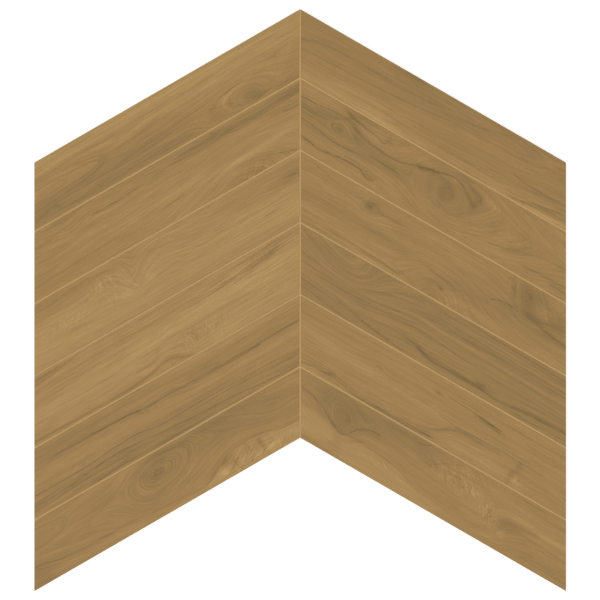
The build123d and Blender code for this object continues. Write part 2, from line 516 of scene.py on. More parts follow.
def left_4(p):
    p.clear(
        (170, 34, 300, 90, 0.2), (20, 12, 60, 18, 0.9), (110, 14, 50, 18, 0.9), (200, 34, 30, 12, 0.35),
        (90, 56, 12, 10, 0.3), (330, 25, 20, 14, 0.3), (265, 42, 16, 6, -0.2),
    )
    p.tones(
        (123, 16, 40, 2, -3), (190, 22, 40, 3, -3), (25, 9, 16, 2, 4), (130, 26, 40, 2, 3),
        (132, 38, 30, 3, 3), (41, 33, 30, 3, -3), (123, 49, 6, 5, -3), (25, 17.5, 18, 2, -3),
        (55, 15, 12, 2, -3), (173, 47, 8, 4, 3), (182, 58, 6, 3, 4), (25, 54, 24, 5, 3),
        (336, 58, 16, 4, -3), (137, 51, 6, 5, -3), (122, 17, 50, 2, -3), (130, 25.5, 50, 2, 3),
        (28, 34, 24, 3, -3), (50, 14, 10, 2, 3), (23, 18, 20, 2.5, -4), (90, 26, 60, 2.5, 3),
        (223, 8, 12, 6, 4), (200, 51, 10, 3, -4), (336, 59, 24, 5, -3), (27, 9, 24, 2, 3),
        (150, 17, 80, 2.5, -4), (130, 24, 50, 2.5, 3), (50, 12, 14, 3, 3),
    )
    p.flow(
        [(0, 4), (60, 8), (100, 11), (200, 12), (300, 13), (346, 17)],
        [(0, 38), (190, 39.7), (248, 41), (346, 43)],
        [(0, 62), (90, 64), (135, 66), (150, 64.5), (162, 60), (174, 57.5), (186, 60), (198, 63.5),
         (215, 64.5), (346, 64.5)],
    )
    p.vein([(0, 3), (40, 3.5), (58, 6), (90, 5), (150, 3)], 0.7, 7, halo=1)
    p.patch(42, 10, 20, 3.5, -6)
    p.vein([(27, 9), (36, 11), (56, 12.4)], 1.0, 14, tail=5)
    p.vein([(28, 14), (60, 11.5)], 0.6, 5, tail=5)
    p.band([(60, 16.4), (84, 16.8)], 0.8, 8, tail=5)
    p.vein([(58, 18), (75, 19.5), (90, 19)], 0.9, 12, halo=2, tail=6)
    p.vein([(30, 16.5), (70, 15.5), (112, 17)], 0.7, 7)
    p.band([(0, 28), (120, 29), (225, 30)], 9, 6)
    p.patch(196, 58, 12, 3, 6)
    p.band([(20, 16), (150, 15), (240, 14), (346, 18)], 4, -5)
    p.tones((20, 12, 30, 5, -3), (90, 60, 30, 6, 3))
    p.band([(200, 54), (280, 56), (346, 56)], 6, 1)
    p.band([(200, 43), (280, 44), (346, 44)], 3, 5)
    p.patch(130, 50, 22, 10, -2)
    p.band([(0, 48), (100, 50)], 9, 3)
    p.vein([(0, 36), (100, 38), (190, 40), (260, 43), (346, 43)], 0.6, 8, halo=1)
    p.vein([(0, 27), (120, 29), (346, 27)], 0.6, 4)
    p.vein([(30, 21), (160, 24), (346, 22)], 0.6, 4)
    p.vein([(0, 53), (50, 53), (100, 56)], 0.7, 6, halo=2)
    p.vein([(219, 42), (228, 24), (237, 7)], 0.6, 6, tail=2)
    p.curls(116, 50, 18, 9, -15, 15)
    p.curls(140, 52, 16, 10, -25, 15)
    p.tones(
        (131, 56, 3, 7, 6, -20), (137, 50, 4, 8, -8, -20), (116, 54, 12, 6, -4), (124, 45, 8, 1.6, 5, 20),
        (186, 46, 3, 5, -5),
    )
    p.vein([(184, 43.5), (186, 50), (192, 53), (203, 54.5), (214, 53.5)], 0.8, 8, halo=1, tail=2)
    p.band([(188, 47), (198, 50), (212, 48)], 1.2, 5, tail=4)
    p.band([(190, 43.5), (204, 45.5), (216, 50)], 0.9, 5, tail=4)
    p.vein([(188, 42), (202, 43), (216, 46)], 0.7, 5, tail=4)
    p.band([(196, 57.5), (206, 57)], 1.2, 6, tail=5)
    line = [
        (136, 68), (149, 65), (162, 60), (174, 58.3), (185, 60.2), (196, 63.4), (210, 65), (270, 65.5),
        (346, 64.5),
    ]
    p.band(line, 2.6, -10, tail=8)
    p.vein(line, 1.2, 7, tail=8)
    p.patch(162, 66, 18, 3, -6)
    p.vein([(285, 0), (300, 3.5), (320, 7), (346, 9.5)], 0.9, 9, halo=2, tail=6)
    p.vein([(306, 1), (325, 3.5), (346, 5)], 0.7, 9, tail=6)
    p.patch(332, 5, 22, 4, -6)
    p.band([(210, 9), (250, 8), (290, 14), (346, 16)], 3, -3)
    p.band([(130, 18), (200, 19), (346, 22)], 2, 3)


def left_5(p):
    p.clear(
        (8, 14, 18, 16, -0.45), (228, 8, 26, 9, -0.4), (180, 6, 24, 9, -0.25), (295, 46, 50, 9, -0.3),
        (76, 44, 14, 7, 0.35), (336, 18, 14, 8, 0.3), (55, 25, 14, 6, -0.2),
    )
    p.tones(
        (9, 51, 12, 3, 4), (190, 24, 14, 3, 4), (291, 40, 14, 3, -3), (77, 5, 24, 4, 4),
        (214, 46.5, 10, 2.5, -4), (224, 53, 12, 3, 4), (277, 53, 16, 3, 3), (23, 26, 16, 4, -2),
    )
    p.flow(
        [(0, 23), (30, 22.6), (68, 25.5), (144, 25), (171, 21.5), (203, 22.5), (225, 20), (311, 17.5),
         (346, 18)],
        [(0, 51), (45, 49), (68, 48), (135, 47.5), (185, 46), (210, 43), (237, 43.5), (260, 45),
         (346, 46.5)],
        [(0, 64), (56, 61), (100, 59), (158, 57), (190, 53), (225, 51), (250, 51.5), (290, 55), (346, 58)],
    )
    p.band([(0, 35), (120, 35), (346, 33)], 7, 5)
    p.band([(0, 3), (150, 4), (200, 2)], 5, 4)
    p.band([(0, 60), (150, 58), (346, 61)], 9, -3)
    p.vein(
        [(0, 23.2), (18, 22.4), (52, 23), (95, 22.6), (144, 24.3), (171, 21.8), (187, 23), (212, 23.8)],
        0.8, 12, halo=3,
    )
    p.vein([(50, 24.6), (70, 25.7), (110, 25), (144, 25.3)], 0.8, 13, halo=2, tail=3)
    p.vein([(100, 21.5), (150, 22.5), (190, 21.4), (212, 21), (226, 19.6)], 0.8, 11, halo=2, tail=10)
    p.vein(
        [(165, 22.5), (203, 22.3), (226, 19.5), (248, 19), (282, 18.4), (311, 17.6), (326, 18)],
        0.9, 12, halo=2, tail=8,
    )
    p.band([(217, 19.6), (248, 18.9), (276, 18.4)], 1.3, -7, tail=12)
    p.tones(
        (122, 17, 22, 3, -6), (35, 7, 40, 2.5, 4), (128, 33, 22, 2.5, 5), (141, 16.5, 4, 4, -4, -40),
        (300, 11, 66, 8, -6), (216, 18, 14, 1.6, -5),
    )
    p.vein([(0, 8), (50, 8), (120, 13), (220, 8), (346, 10)], 0.7, 5, halo=1)
    p.vein([(0, 4), (100, 6), (230, 4)], 0.6, 5)
    p.vein(
        [(0, 51), (45, 49), (68, 48), (99, 47.4), (135, 47), (171, 47.6), (192, 46.2), (210, 43.3),
         (239, 43.8), (259, 45.3), (346, 46.5)],
        0.8, 14, halo=2, side=0.7,
    )
    p.vein([(56, 42.5), (130, 41.5), (200, 41)], 0.7, 8, halo=1)
    p.vein([(50, 44.5), (110, 44), (190, 43.5)], 0.6, 7)
    p.vein([(0, 56), (45, 53.5), (70, 52), (130, 51)], 0.7, 8, halo=1)
    p.vein(
        [(0, 67), (56, 63.5), (90, 60), (126, 58.5), (180, 55.5), (203, 53), (225, 51.4), (250, 51.8),
         (293, 55.5), (346, 57.5)],
        0.8, 12, halo=2,
    )
    p.vein([(200, 57.5), (300, 60), (346, 62.5)], 0.7, 10, halo=2, tail=25)
    p.vein([(230, 49), (290, 52), (346, 54)], 0.7, 8, halo=1, tail=25)
    p.vein([(54, 67), (135, 66), (180, 65.5), (226, 65), (271, 66.5)], 1.0, 9, halo=3)
    p.tones((165, 66.5, 24, 1.8, -7), (270, 64, 30, 3, -4))
    p.band([(180, 40), (260, 39), (346, 40)], 5, -4)
    p.band([(40, 62), (90, 63)], 3, 3)
    p.tones((297, 42, 44, 2.2, 6), (180, 53.5, 26, 2, 4), (225, 62, 14, 4, -4), (226, 54, 20, 3, -5))
    p.curls(180, 54, 26, 6, 20, 5)
    p.curls(290, 43, 40, 3, 10, 8)
    p.vein([(193, 34), (198, 28), (203, 23)], 0.6, 9, tail=2)
    p.vein([(255, 66), (258, 62), (261, 59)], 0.7, 8, tail=1)
    p.patch(208, 25, 8, 1.6, -6, turn=15)


def left_6(p):
    p.clear(
        (76, 8, 24, 14, -0.5), (120, 28, 28, 18, -0.3), (328, 24, 22, 8, -0.55), (245, 34, 30, 12, -0.25),
        (16, 22, 14, 9, 0.3), (183, 20, 14, 16, 0.3), (200, 62, 20, 7, 0.5), (285, 5, 20, 6, 0.3),
    )
    p.tones(
        (192, 30, 12, 2.4, -4), (176, 19, 8, 3, 3), (45, 6, 24, 3, -3), (80, 53, 8, 3, -4),
        (155, 4, 10, 3, 3), (23, 62, 10, 4, -6), (11, 53, 12, 4, 4), (330, 50, 20, 5, -4),
        (332, 38, 16, 4, 3), (309, 62, 16, 3, 3), (9, 5, 14, 4, -4), (164, 3, 12, 3, 4),
        (309, 3, 16, 3, -4), (177, 19, 8, 4, 3), (205, 17, 6, 5, -3), (55, 48, 10, 3, -4),
        (50, 57, 8, 4, -5), (91, 55, 7, 5, -5), (77, 48, 8, 4, 5), (36, 62, 8, 4, 4), (110, 20, 14, 8, -3),
        (190, 9, 12, 4, -3), (145, 30, 6, 8, 3), (209, 30, 6, 8, 3), (309, 7, 18, 3, 3),
        (333, 54, 14, 5, 4), (132, 62, 12, 3, 3), (232, 8, 6, 8, 3), (332, 3, 14, 2, -3),
        (57, 58, 13, 1.6, 6, 52), (75, 58, 11, 1.5, 6, 50), (96, 61, 11, 1.8, 5, 38),
        (49, 55, 14, 1.5, -6, 54), (66, 56, 12, 1.4, -4, 52), (84, 57, 11, 1.4, -2, 48), (185, 19, 9, 5, 4),
        (334, 46, 16, 4, 5), (330, 35, 14, 4, -4), (60, 54, 5, 5, -5), (86, 55, 6, 5, -5),
        (150, 48, 34, 8, -3),
    )
    p.flow(
        [(0, 31), (45, 27), (74, 20), (95, 14), (115, 9), (140, 3), (180, -2), (225, 0), (245, 6),
         (300, 12), (346, 14)],
        [(0, 49), (29, 47), (56, 41), (80, 36), (105, 38), (125, 47), (145, 54), (180, 56), (215, 53),
         (250, 46), (300, 42), (346, 38)],
        [(0, 58), (60, 55), (100, 56), (120, 62), (180, 60), (250, 57), (316, 53), (346, 47)],
    )
    p.tones(
        (70, 17, 80, 17, -6), (130, 5, 90, 6, -5), (118, 5, 20, 4, -3), (40, 8, 50, 6, 7),
        (232, 3, 24, 4, 5), (262, 18, 22, 8, -3), (290, 40, 60, 7, -2),
    )
    p.eye(180, 23.5, 49, 25, 24, 0.9, heart=(185, 21), heart_turn=10, shade=1)
    p.tones(
        (176, 24, 40, 22, -5), (184, 20, 18, 11, -3, 0, 2), (185.5, 20.5, 7.5, 6.5, -3, -30, 2),
        (181, 23, 1.6, 2.4, 9), (190, 18, 2, 1.4, 7),
    )
    p.vein([(174, 16), (185, 20), (195, 25)], 0.8, 9, tail=3)
    p.vein([(177, 26), (185, 20.5), (194, 15)], 0.8, 9, tail=3)
    p.vein([(174, 9), (180, 12), (184, 16)], 0.8, 9, tail=3)
    p.band([(168, 26), (176, 30), (188, 31.5), (200, 27)], 1.0, 7, tail=4)
    p.band([(203, 8), (212, 16), (214, 26)], 1.1, 6, tail=3)
    p.band([(215, 4), (225, 13), (228, 22)], 1.1, 6, tail=3)
    p.band([(134, 26), (142, 37), (155, 44), (170, 48)], 1.2, 5, tail=6)
    p.band([(150, 22), (151, 30), (160, 38)], 1.2, 5, tail=3)
    p.tones((164, 5, 24, 3.5, -7), (204, 18, 6, 8, -4))
    p.band([(30, 28), (56, 22), (86, 13), (108, 9.5)], 1.6, 6, tail=12)
    p.band([(58, 26), (84, 23), (108, 23), (122, 29)], 1.3, 6, tail=8)
    p.band([(0, 36), (40, 33), (85, 21), (112, 16)], 2.4, -5, tail=12)
    p.vein(
        [(0, 34), (45, 31), (74, 24), (95, 20.5), (110, 22), (128, 33), (145, 43), (165, 48)],
        0.7, 5, halo=1,
    )
    p.vein([(20, 38), (60, 32), (85, 28), (105, 33), (125, 45), (145, 53)], 0.7, 5, halo=1)
    p.vein([(0, 27), (50, 24), (74, 17), (90, 12), (108, 8)], 0.7, 5, halo=1)
    p.tones((45, 30, 40, 5, 3), (120, 60, 22, 5, 4), (98, 60, 10, 4, 4), (90, 8, 70, 7, -3))
    p.below([(0, 50), (29, 47), (58, 41.5), (92, 43), (106, 53), (114, 59), (126, 68)], 7, soft=1.6)
    p.vein([(0, 50), (29, 47.5), (42, 43.5), (58, 41), (92, 42.5)], 0.8, 8, halo=2, side=-1)
    p.vein([(92, 42.5), (104, 52), (113, 58), (125, 62)], 1.0, 8, halo=3, tail=4)
    p.curls(66, 57, 40, 12, 40, 18)
    p.patch(82, 48, 24, 4, -6)
    p.curls(18, 61, 24, 8, 25, 14, glow=3)
    p.tones(
        (52, 49, 10, 2, -8, 50), (66, 50, 10, 2, -8, 50), (44, 60, 10, 2, -8, 50), (80, 60, 9, 1.6, -7, 50),
        (38, 58, 14, 7, 5), (62, 58, 12, 2, 3, 50), (170, 20, 46, 22, -2), (186, 19, 8, 5, 3),
        (100, 60, 8, 4, 5), (94, 49, 9, 4, -8, -25), (112, 57, 8, 5, -5, -45),
    )
    p.vein([(120, 62), (150, 60.5), (180, 58.5), (214, 55.5), (248, 54)], 0.8, 6, halo=2, tail=10)
    p.vein(
        [(240, 55), (252, 54.5), (271, 54.5), (300, 53), (316, 51), (328, 47.5), (346, 45.5)],
        0.9, 11, halo=3, tail=6,
    )
    p.patch(252, 56.5, 7, 2, -6)
    p.band([(130, 65), (220, 62), (346, 60)], 3, 5)
    p.tongue(
        [(300, 16), (308, 12), (322, 10), (346, 8.5)],
        [(300, 16), (309, 22), (322, 26), (346, 28.5)],
        contrast=0.5,
    )
    p.vein([(302, 16), (309, 12), (322, 10), (346, 8)], 0.9, 6, halo=2, side=1, tail=4)
    p.vein([(302, 17), (309, 23), (322, 27), (346, 29)], 0.9, 8, halo=3, side=-1, tail=4)
    p.band([(285, 22), (300, 28), (325, 32), (346, 32)], 1.6, 5, tail=8)
    p.vein([(242, 21), (262, 27), (285, 32)], 0.8, 5, halo=1, tail=6)
    p.tones((337, 56, 18, 9, -11, 20), (50, 53, 24, 4, -2), (250, 30, 30, 8, 2))


def right_1(p):
    p.clear(
        (170, 34, 300, 90, -0.06), (162, 12, 14, 12, -0.55), (110, 28, 40, 7, -0.3),
        (48, 12, 16, 10, -0.25), (255, 38, 60, 5, -0.35), (110, 56, 36, 12, 0.9), (190, 62, 20, 8, 0.5),
        (250, 60, 26, 10, 0.6), (335, 22, 16, 6, 0.4), (328, 56, 20, 10, 0.4), (50, 62, 30, 6, 0.3),
    )
    p.tones(
        (322, 65.4, 24, 2.2, 6), (292, 66.8, 26, 1.4, 4), (160, 44, 26, 4, 3), (324, 49, 20, 3, -3),
        (322, 13, 10, 3, 3), (58, 61, 30, 4, -4), (123, 50, 24, 5, 4), (309, 57, 20, 3, 4, 12),
        (214, 14, 24, 4, 3), (336, 46, 14, 3, -3), (300, 62, 24, 3, 4), (318, 12, 12, 3, 4),
    )
    upper = [(0, 3), (150, 2), (226, 2.5), (270, 4), (300, 6.5), (316, 9.5), (323, 13)]
    lower = [
        (0, 37.5), (36, 38), (68, 36.5), (113, 34), (158, 31), (198, 26), (248, 23.5), (290, 21.5),
        (312, 18), (323, 13.5),
    ]
    p.flow(
        upper + [(346, 13.5)],
        lower + [(346, 14.5)],
        [(0, 56), (68, 55), (158, 56), (260, 57), (320, 52), (346, 48)],
    )
    p.tongue(upper, lower, contrast=0.25)
    p.band([(0, 10), (346, 12)], 11, -3)
    p.tones(
        (148, 1.5, 20, 3.5, -13), (150, 8, 14, 3, -3), (245, 10, 45, 4, 4), (45, 39, 40, 3, 4),
        (145, 44, 30, 3, 4), (85, 24, 30, 2.5, -4), (305, 25, 20, 3, -4),
    )
    p.vein(
        [(0, 29), (29, 21.5), (63, 19.2), (120, 20), (158, 18.8), (203, 16.6), (237, 13.6), (270, 7.5),
         (285, 6)],
        1.2, 4, halo=5, tail=10,
    )
    p.vein(
        [(0, 37.4), (36, 36.2), (68, 34.6), (113, 32.4), (158, 29), (198, 24.6), (248, 22.6), (282, 21),
         (304, 19.8)],
        1.2, 5, halo=3,
    )
    p.vein([(20, 17), (60, 13), (110, 12)], 0.9, 4, halo=2)
    p.vein([(196, 1), (226, 3.6), (270, 2.4), (300, 4.5), (316, 8), (322, 12)], 0.9, 5, halo=3, tail=8)
    p.vein([(120, 12), (180, 13), (230, 10)], 0.8, 4, halo=2)
    p.band([(240, 22.5), (282, 20), (305, 16.5), (319, 12.5)], 1.1, 8, tail=10)
    p.band([(200, 29), (270, 26), (330, 22)], 1.5, 4, tail=20)
    p.band([(0, 62), (100, 63)], 8, 9)
    p.band([(80, 63), (200, 62), (270, 66)], 8, 4)
    p.tones((110, 64, 40, 3.5, 7), (62, 50, 34, 3, 4))
    p.band([(40, 52), (130, 51)], 2, 4)
    p.tones(
        (305, 66, 60, 4.5, 11), (320, 4, 30, 4, -4), (310, 14, 20, 6, -3), (50, 13, 60, 4, 3),
        (60, 50, 70, 8, 3),
    )
    p.vein([(271, 66), (293, 61.5), (316, 56.4), (334, 53.6), (346, 53.6)], 0.9, 12, halo=2, tail=5)
    p.vein([(270, 65), (290, 64), (316, 59.5), (346, 57.5)], 0.8, 10, halo=2, tail=5)
    p.patch(300, 62, 18, 1.6, -6, turn=12)
    p.vein([(276, 41), (302, 43.5), (346, 44)], 0.9, 9, halo=3, tail=6)
    p.vein([(104, 61), (118, 60), (133, 57.6)], 0.8, 11, tail=5)
    p.vein([(60, 62), (104, 61)], 0.7, 8, tail=8)
    p.vein([(80, 53.5), (96, 51)], 0.6, 6, tail=4)
    p.band([(100, 44), (200, 42), (346, 34)], 5, -3)
    p.patch(330, 47.5, 26, 3, -6)
    for v, ink in ((46, 5), (51, 5), (55.5, 6)):
        p.vein([(0, v), (100, v - 1), (220, v + 1)], 0.7, ink, halo=1, tail=30)


def right_2(p):
    p.clear(
        (170, 34, 300, 90, -0.05), (157, 31, 15, 16, -0.6), (222, 34, 10, 16, -0.4),
        (249, 14, 12, 12, -0.5), (284, 27, 22, 10, -0.6), (120, 28, 34, 9, -0.35), (42, 35, 26, 4, -0.25),
        (40, 48, 26, 9, 0.3), (135, 55, 50, 9, 0.4), (218, 63, 24, 5, 0.5), (290, 4, 26, 4, 0.4),
        (190, 30, 34, 20, -0.25),
    )
    p.tones(
        (88, 22, 12, 3, 3), (75, 30, 14, 3, -3), (160, 12, 12, 2.5, 3), (70, 52, 16, 2, 4),
        (95, 47, 10, 2.5, -3), (64, 53.8, 17, 1.5, -6), (88, 55.4, 9, 2, -5), (79, 8.5, 13, 1.8, -4, -12),
        (117, 10, 2.2, 3.6, -4), (77, 25, 10, 4, -4), (113, 7, 10, 4, -4), (218, 4.5, 14, 4, -5),
        (200, 27, 8, 6, -4), (180, 45, 14, 3, -4), (172, 11, 14, 3, 4), (132, 57, 14, 4, 4),
        (141, 41, 10, 4, 3), (204, 11, 8, 3, 3), (313, 22, 16, 6, 3), (100, 52, 12, 3, -4),
        (32, 50, 22, 3, 4), (80, 9.5, 9, 1.8, -6, -8), (116, 11, 2.6, 4, -6), (236, 13, 6, 3, -4),
        (221, 22, 5, 8, -5), (80, 3, 34, 4, -4), (180, 14, 24, 4, -4), (205, 39, 26, 2.4, -4, 18),
        (122, 54, 14, 5, 3),
    )
    p.flow(
        [(0, 15), (45, 12.5), (70, 13), (95, 20), (135, 23), (155, 19), (180, 13), (200, 9), (235, 8),
         (280, 18), (320, 29), (346, 30)],
        [(0, 32), (45, 31), (100, 33), (150, 35), (192, 38), (240, 38), (290, 33), (346, 33)],
        [(0, 55), (74, 54), (110, 55), (150, 60), (190, 62), (240, 52), (290, 41), (320, 36), (346, 36)],
        [(0, 66), (150, 69), (260, 64), (346, 58)],
    )
    p.tones((25, 6, 34, 6, 5), (125, 9, 30, 4, 3), (86, 2, 24, 3, -6), (15, 48, 60, 4, 3))
    p.band([(0, 25), (40, 28), (70, 31), (150, 37)], 7, -7)
    p.band([(0, 40), (60, 42), (100, 41)], 5, -4)
    p.tones(
        (100, 16, 18, 4, 6), (75, 5, 20, 4, -3), (210, 2, 60, 4, -4), (30, 62, 50, 5, 3),
        (90, 60, 20, 5, 3), (160, 35, 40, 12, -3),
    )
    p.eye(193, 30, (46, 122), 32, 34, 0.35, heart=(192, 29), heart_turn=30, tip=0.75)
    p.eye(193, 28.5, 25, 15, 12, 0.4, heart=(191, 28.5), turn=12, heart_turn=40)
    p.tones((190.6, 28, 15, 9.2, -8, 40, 2), (184, 38, 5, 1.8, -5), (193, 29, 30, 14, -3))
    p.band([(170, 22), (180, 14.5), (194, 14), (206, 18)], 1.1, 4, tail=4)
    p.band([(172, 35), (182, 42), (196, 42.5), (208, 35)], 1.1, 3, tail=4)
    p.band([(176, 41), (190, 46), (204, 44), (214, 38)], 2.2, -7, tail=6)
    p.patch(169, 30, 3.5, 9, -4, turn=-15)
    p.eye(53, 27, 15, 7.5, 8, 0.35, heart=(51, 27), turn=5, shade=2)
    p.patch(51, 27, 6.5, 3.8, -6, turn=15, edge=2)
    p.band([(42, 24), (50, 19.5), (60, 20), (67, 27)], 1.2, 7, tail=4)
    p.vein([(42, 31), (44, 24), (52, 21.5), (60, 24), (63, 28)], 0.7, 7, tail=2)
    p.vein([(0, 16.2), (11, 15), (22, 15.3), (45, 12.4), (61, 11.3), (70, 9.5)], 0.9, 15, halo=3, side=1)
    p.patch(12, 15.4, 6, 1.4, -7)
    p.vein([(0, 22), (24, 21), (46, 17), (66, 13)], 0.8, 8, halo=3)
    p.vein([(0, 26), (30, 25), (44, 22)], 0.8, 8, halo=2)
    p.vein([(0, 30), (26, 31), (40, 33.5)], 0.8, 8, halo=2)
    p.vein(
        [(60, 3), (68, 6), (74, 8), (86, 10.6), (99, 12.4), (108, 15.2), (113, 13.5), (117, 9), (119, 6)],
        0.9, 15, halo=2, tail=3,
    )
    p.vein([(62, 7), (70, 9), (78, 9.5), (88, 12)], 0.8, 11, tail=3)
    p.vein([(104, 15.6), (110, 15.6), (114, 14)], 0.9, 12, tail=2)
    p.vein([(110, 10), (116, 11)], 0.8, 9, tail=2)
    p.tones(
        (71, 14.5, 11, 5, -8, -40), (66, 8, 6, 1.6, -4, -30), (184, 17, 24, 6, -7), (52, 19, 26, 6, -5),
        (249, 14, 12, 6, 5), (298, 27, 16, 6, -7), (115, 48, 30, 5, 4), (320, 7, 34, 4, 5),
        (140, 37, 14, 3, 4), (75, 47, 30, 3, 5),
    )
    p.vein(
        [(60, 13), (72, 18), (82, 22), (97, 24.2), (117, 25.4), (135, 23.6), (149, 19.6), (156, 18)],
        1.1, 11, halo=4,
    )
    p.vein([(70, 14), (80, 18.5), (92, 22), (110, 23.5)], 0.8, 9, halo=2, tail=5)
    p.vein(
        [(154, 19), (167, 15.8), (180, 13.4), (191, 10.2), (203, 9.4), (214, 12.5)],
        1.2, 14, halo=4, tail=4,
    )
    p.vein([(156, 18), (170, 14), (182, 11.6), (190, 9.4)], 0.7, 10, tail=4)
    p.tones(
        (155.6, 18.4, 4.5, 2.6, -16), (168, 15.8, 10, 1.8, -6, 14), (226.5, 11.6, 13, 3, -10, -32),
        (227, 24.5, 11, 3.6, -12, 48), (217, 18, 10, 2.6, -8, -48), (227, 18, 9, 7, -3),
    )
    p.vein([(228, 11), (238, 17)], 0.9, 8, tail=3)
    p.patch(249, 27, 8, 1.2, -6, turn=-80)
    p.vein([(88, 35.4), (108, 36), (130, 37)], 0.9, 13, halo=4, tail=8)
    p.vein([(0, 37), (22, 38.4), (40, 42), (70, 41)], 0.8, 9, halo=3)
    p.vein(
        [(0, 54), (14, 56), (27, 57.6), (45, 56), (63, 53.6), (79, 55), (86, 59.6), (96, 57.6)],
        1.0, 15, halo=3, tail=4,
    )
    p.vein([(20, 56.2), (45, 54), (63, 52.6), (80, 53.6), (97, 53), (100, 56)], 0.7, 12, tail=3)
    p.vein([(0, 55.6), (20, 58.4), (40, 57)], 0.7, 9)
    p.vein([(78, 56), (88, 60), (96, 57), (100, 54)], 0.7, 12, tail=2)
    p.patch(87, 57, 9, 3, -10, edge=2)
    p.band([(84, 51), (100, 50.6)], 1.2, 7, tail=5)
    p.band([(240, 12), (270, 19), (300, 28)], 1.0, 6, tail=6)
    p.vein([(236, 4), (268, 14), (300, 26)], 0.8, 6, halo=1)
    p.vein([(246, 12), (274, 22), (302, 31)], 0.7, 5)
    for start, end in ((62, 46), (57, 43), (52, 41), (66, 50)):
        p.band([(200, start), (236, (start + end) / 2 - 1), (276, end)], 0.9, 5, tail=12)
        p.band([(204, start - 2.4), (240, (start + end) / 2 - 3.4), (280, end - 2.4)], 0.8, -5, tail=12)
    p.vein([(240, 55), (290, 44), (320, 38), (346, 36.5)], 0.9, 8, halo=3)
    p.vein([(282, 57), (316, 55.4), (346, 54)], 0.8, 12, halo=2, tail=8)
    p.vein([(322, 59.6), (346, 60)], 1.0, 13, halo=3, tail=8)
    p.vein([(325, 37), (346, 36)], 0.9, 8, halo=2)
    p.tones(
        (293, 37, 3, 2, -8), (255, 37, 2, 1.4, -6), (140, 52, 50, 10, 3), (250, 61, 50, 6, 3),
        (315, 22, 30, 10, 2),
    )


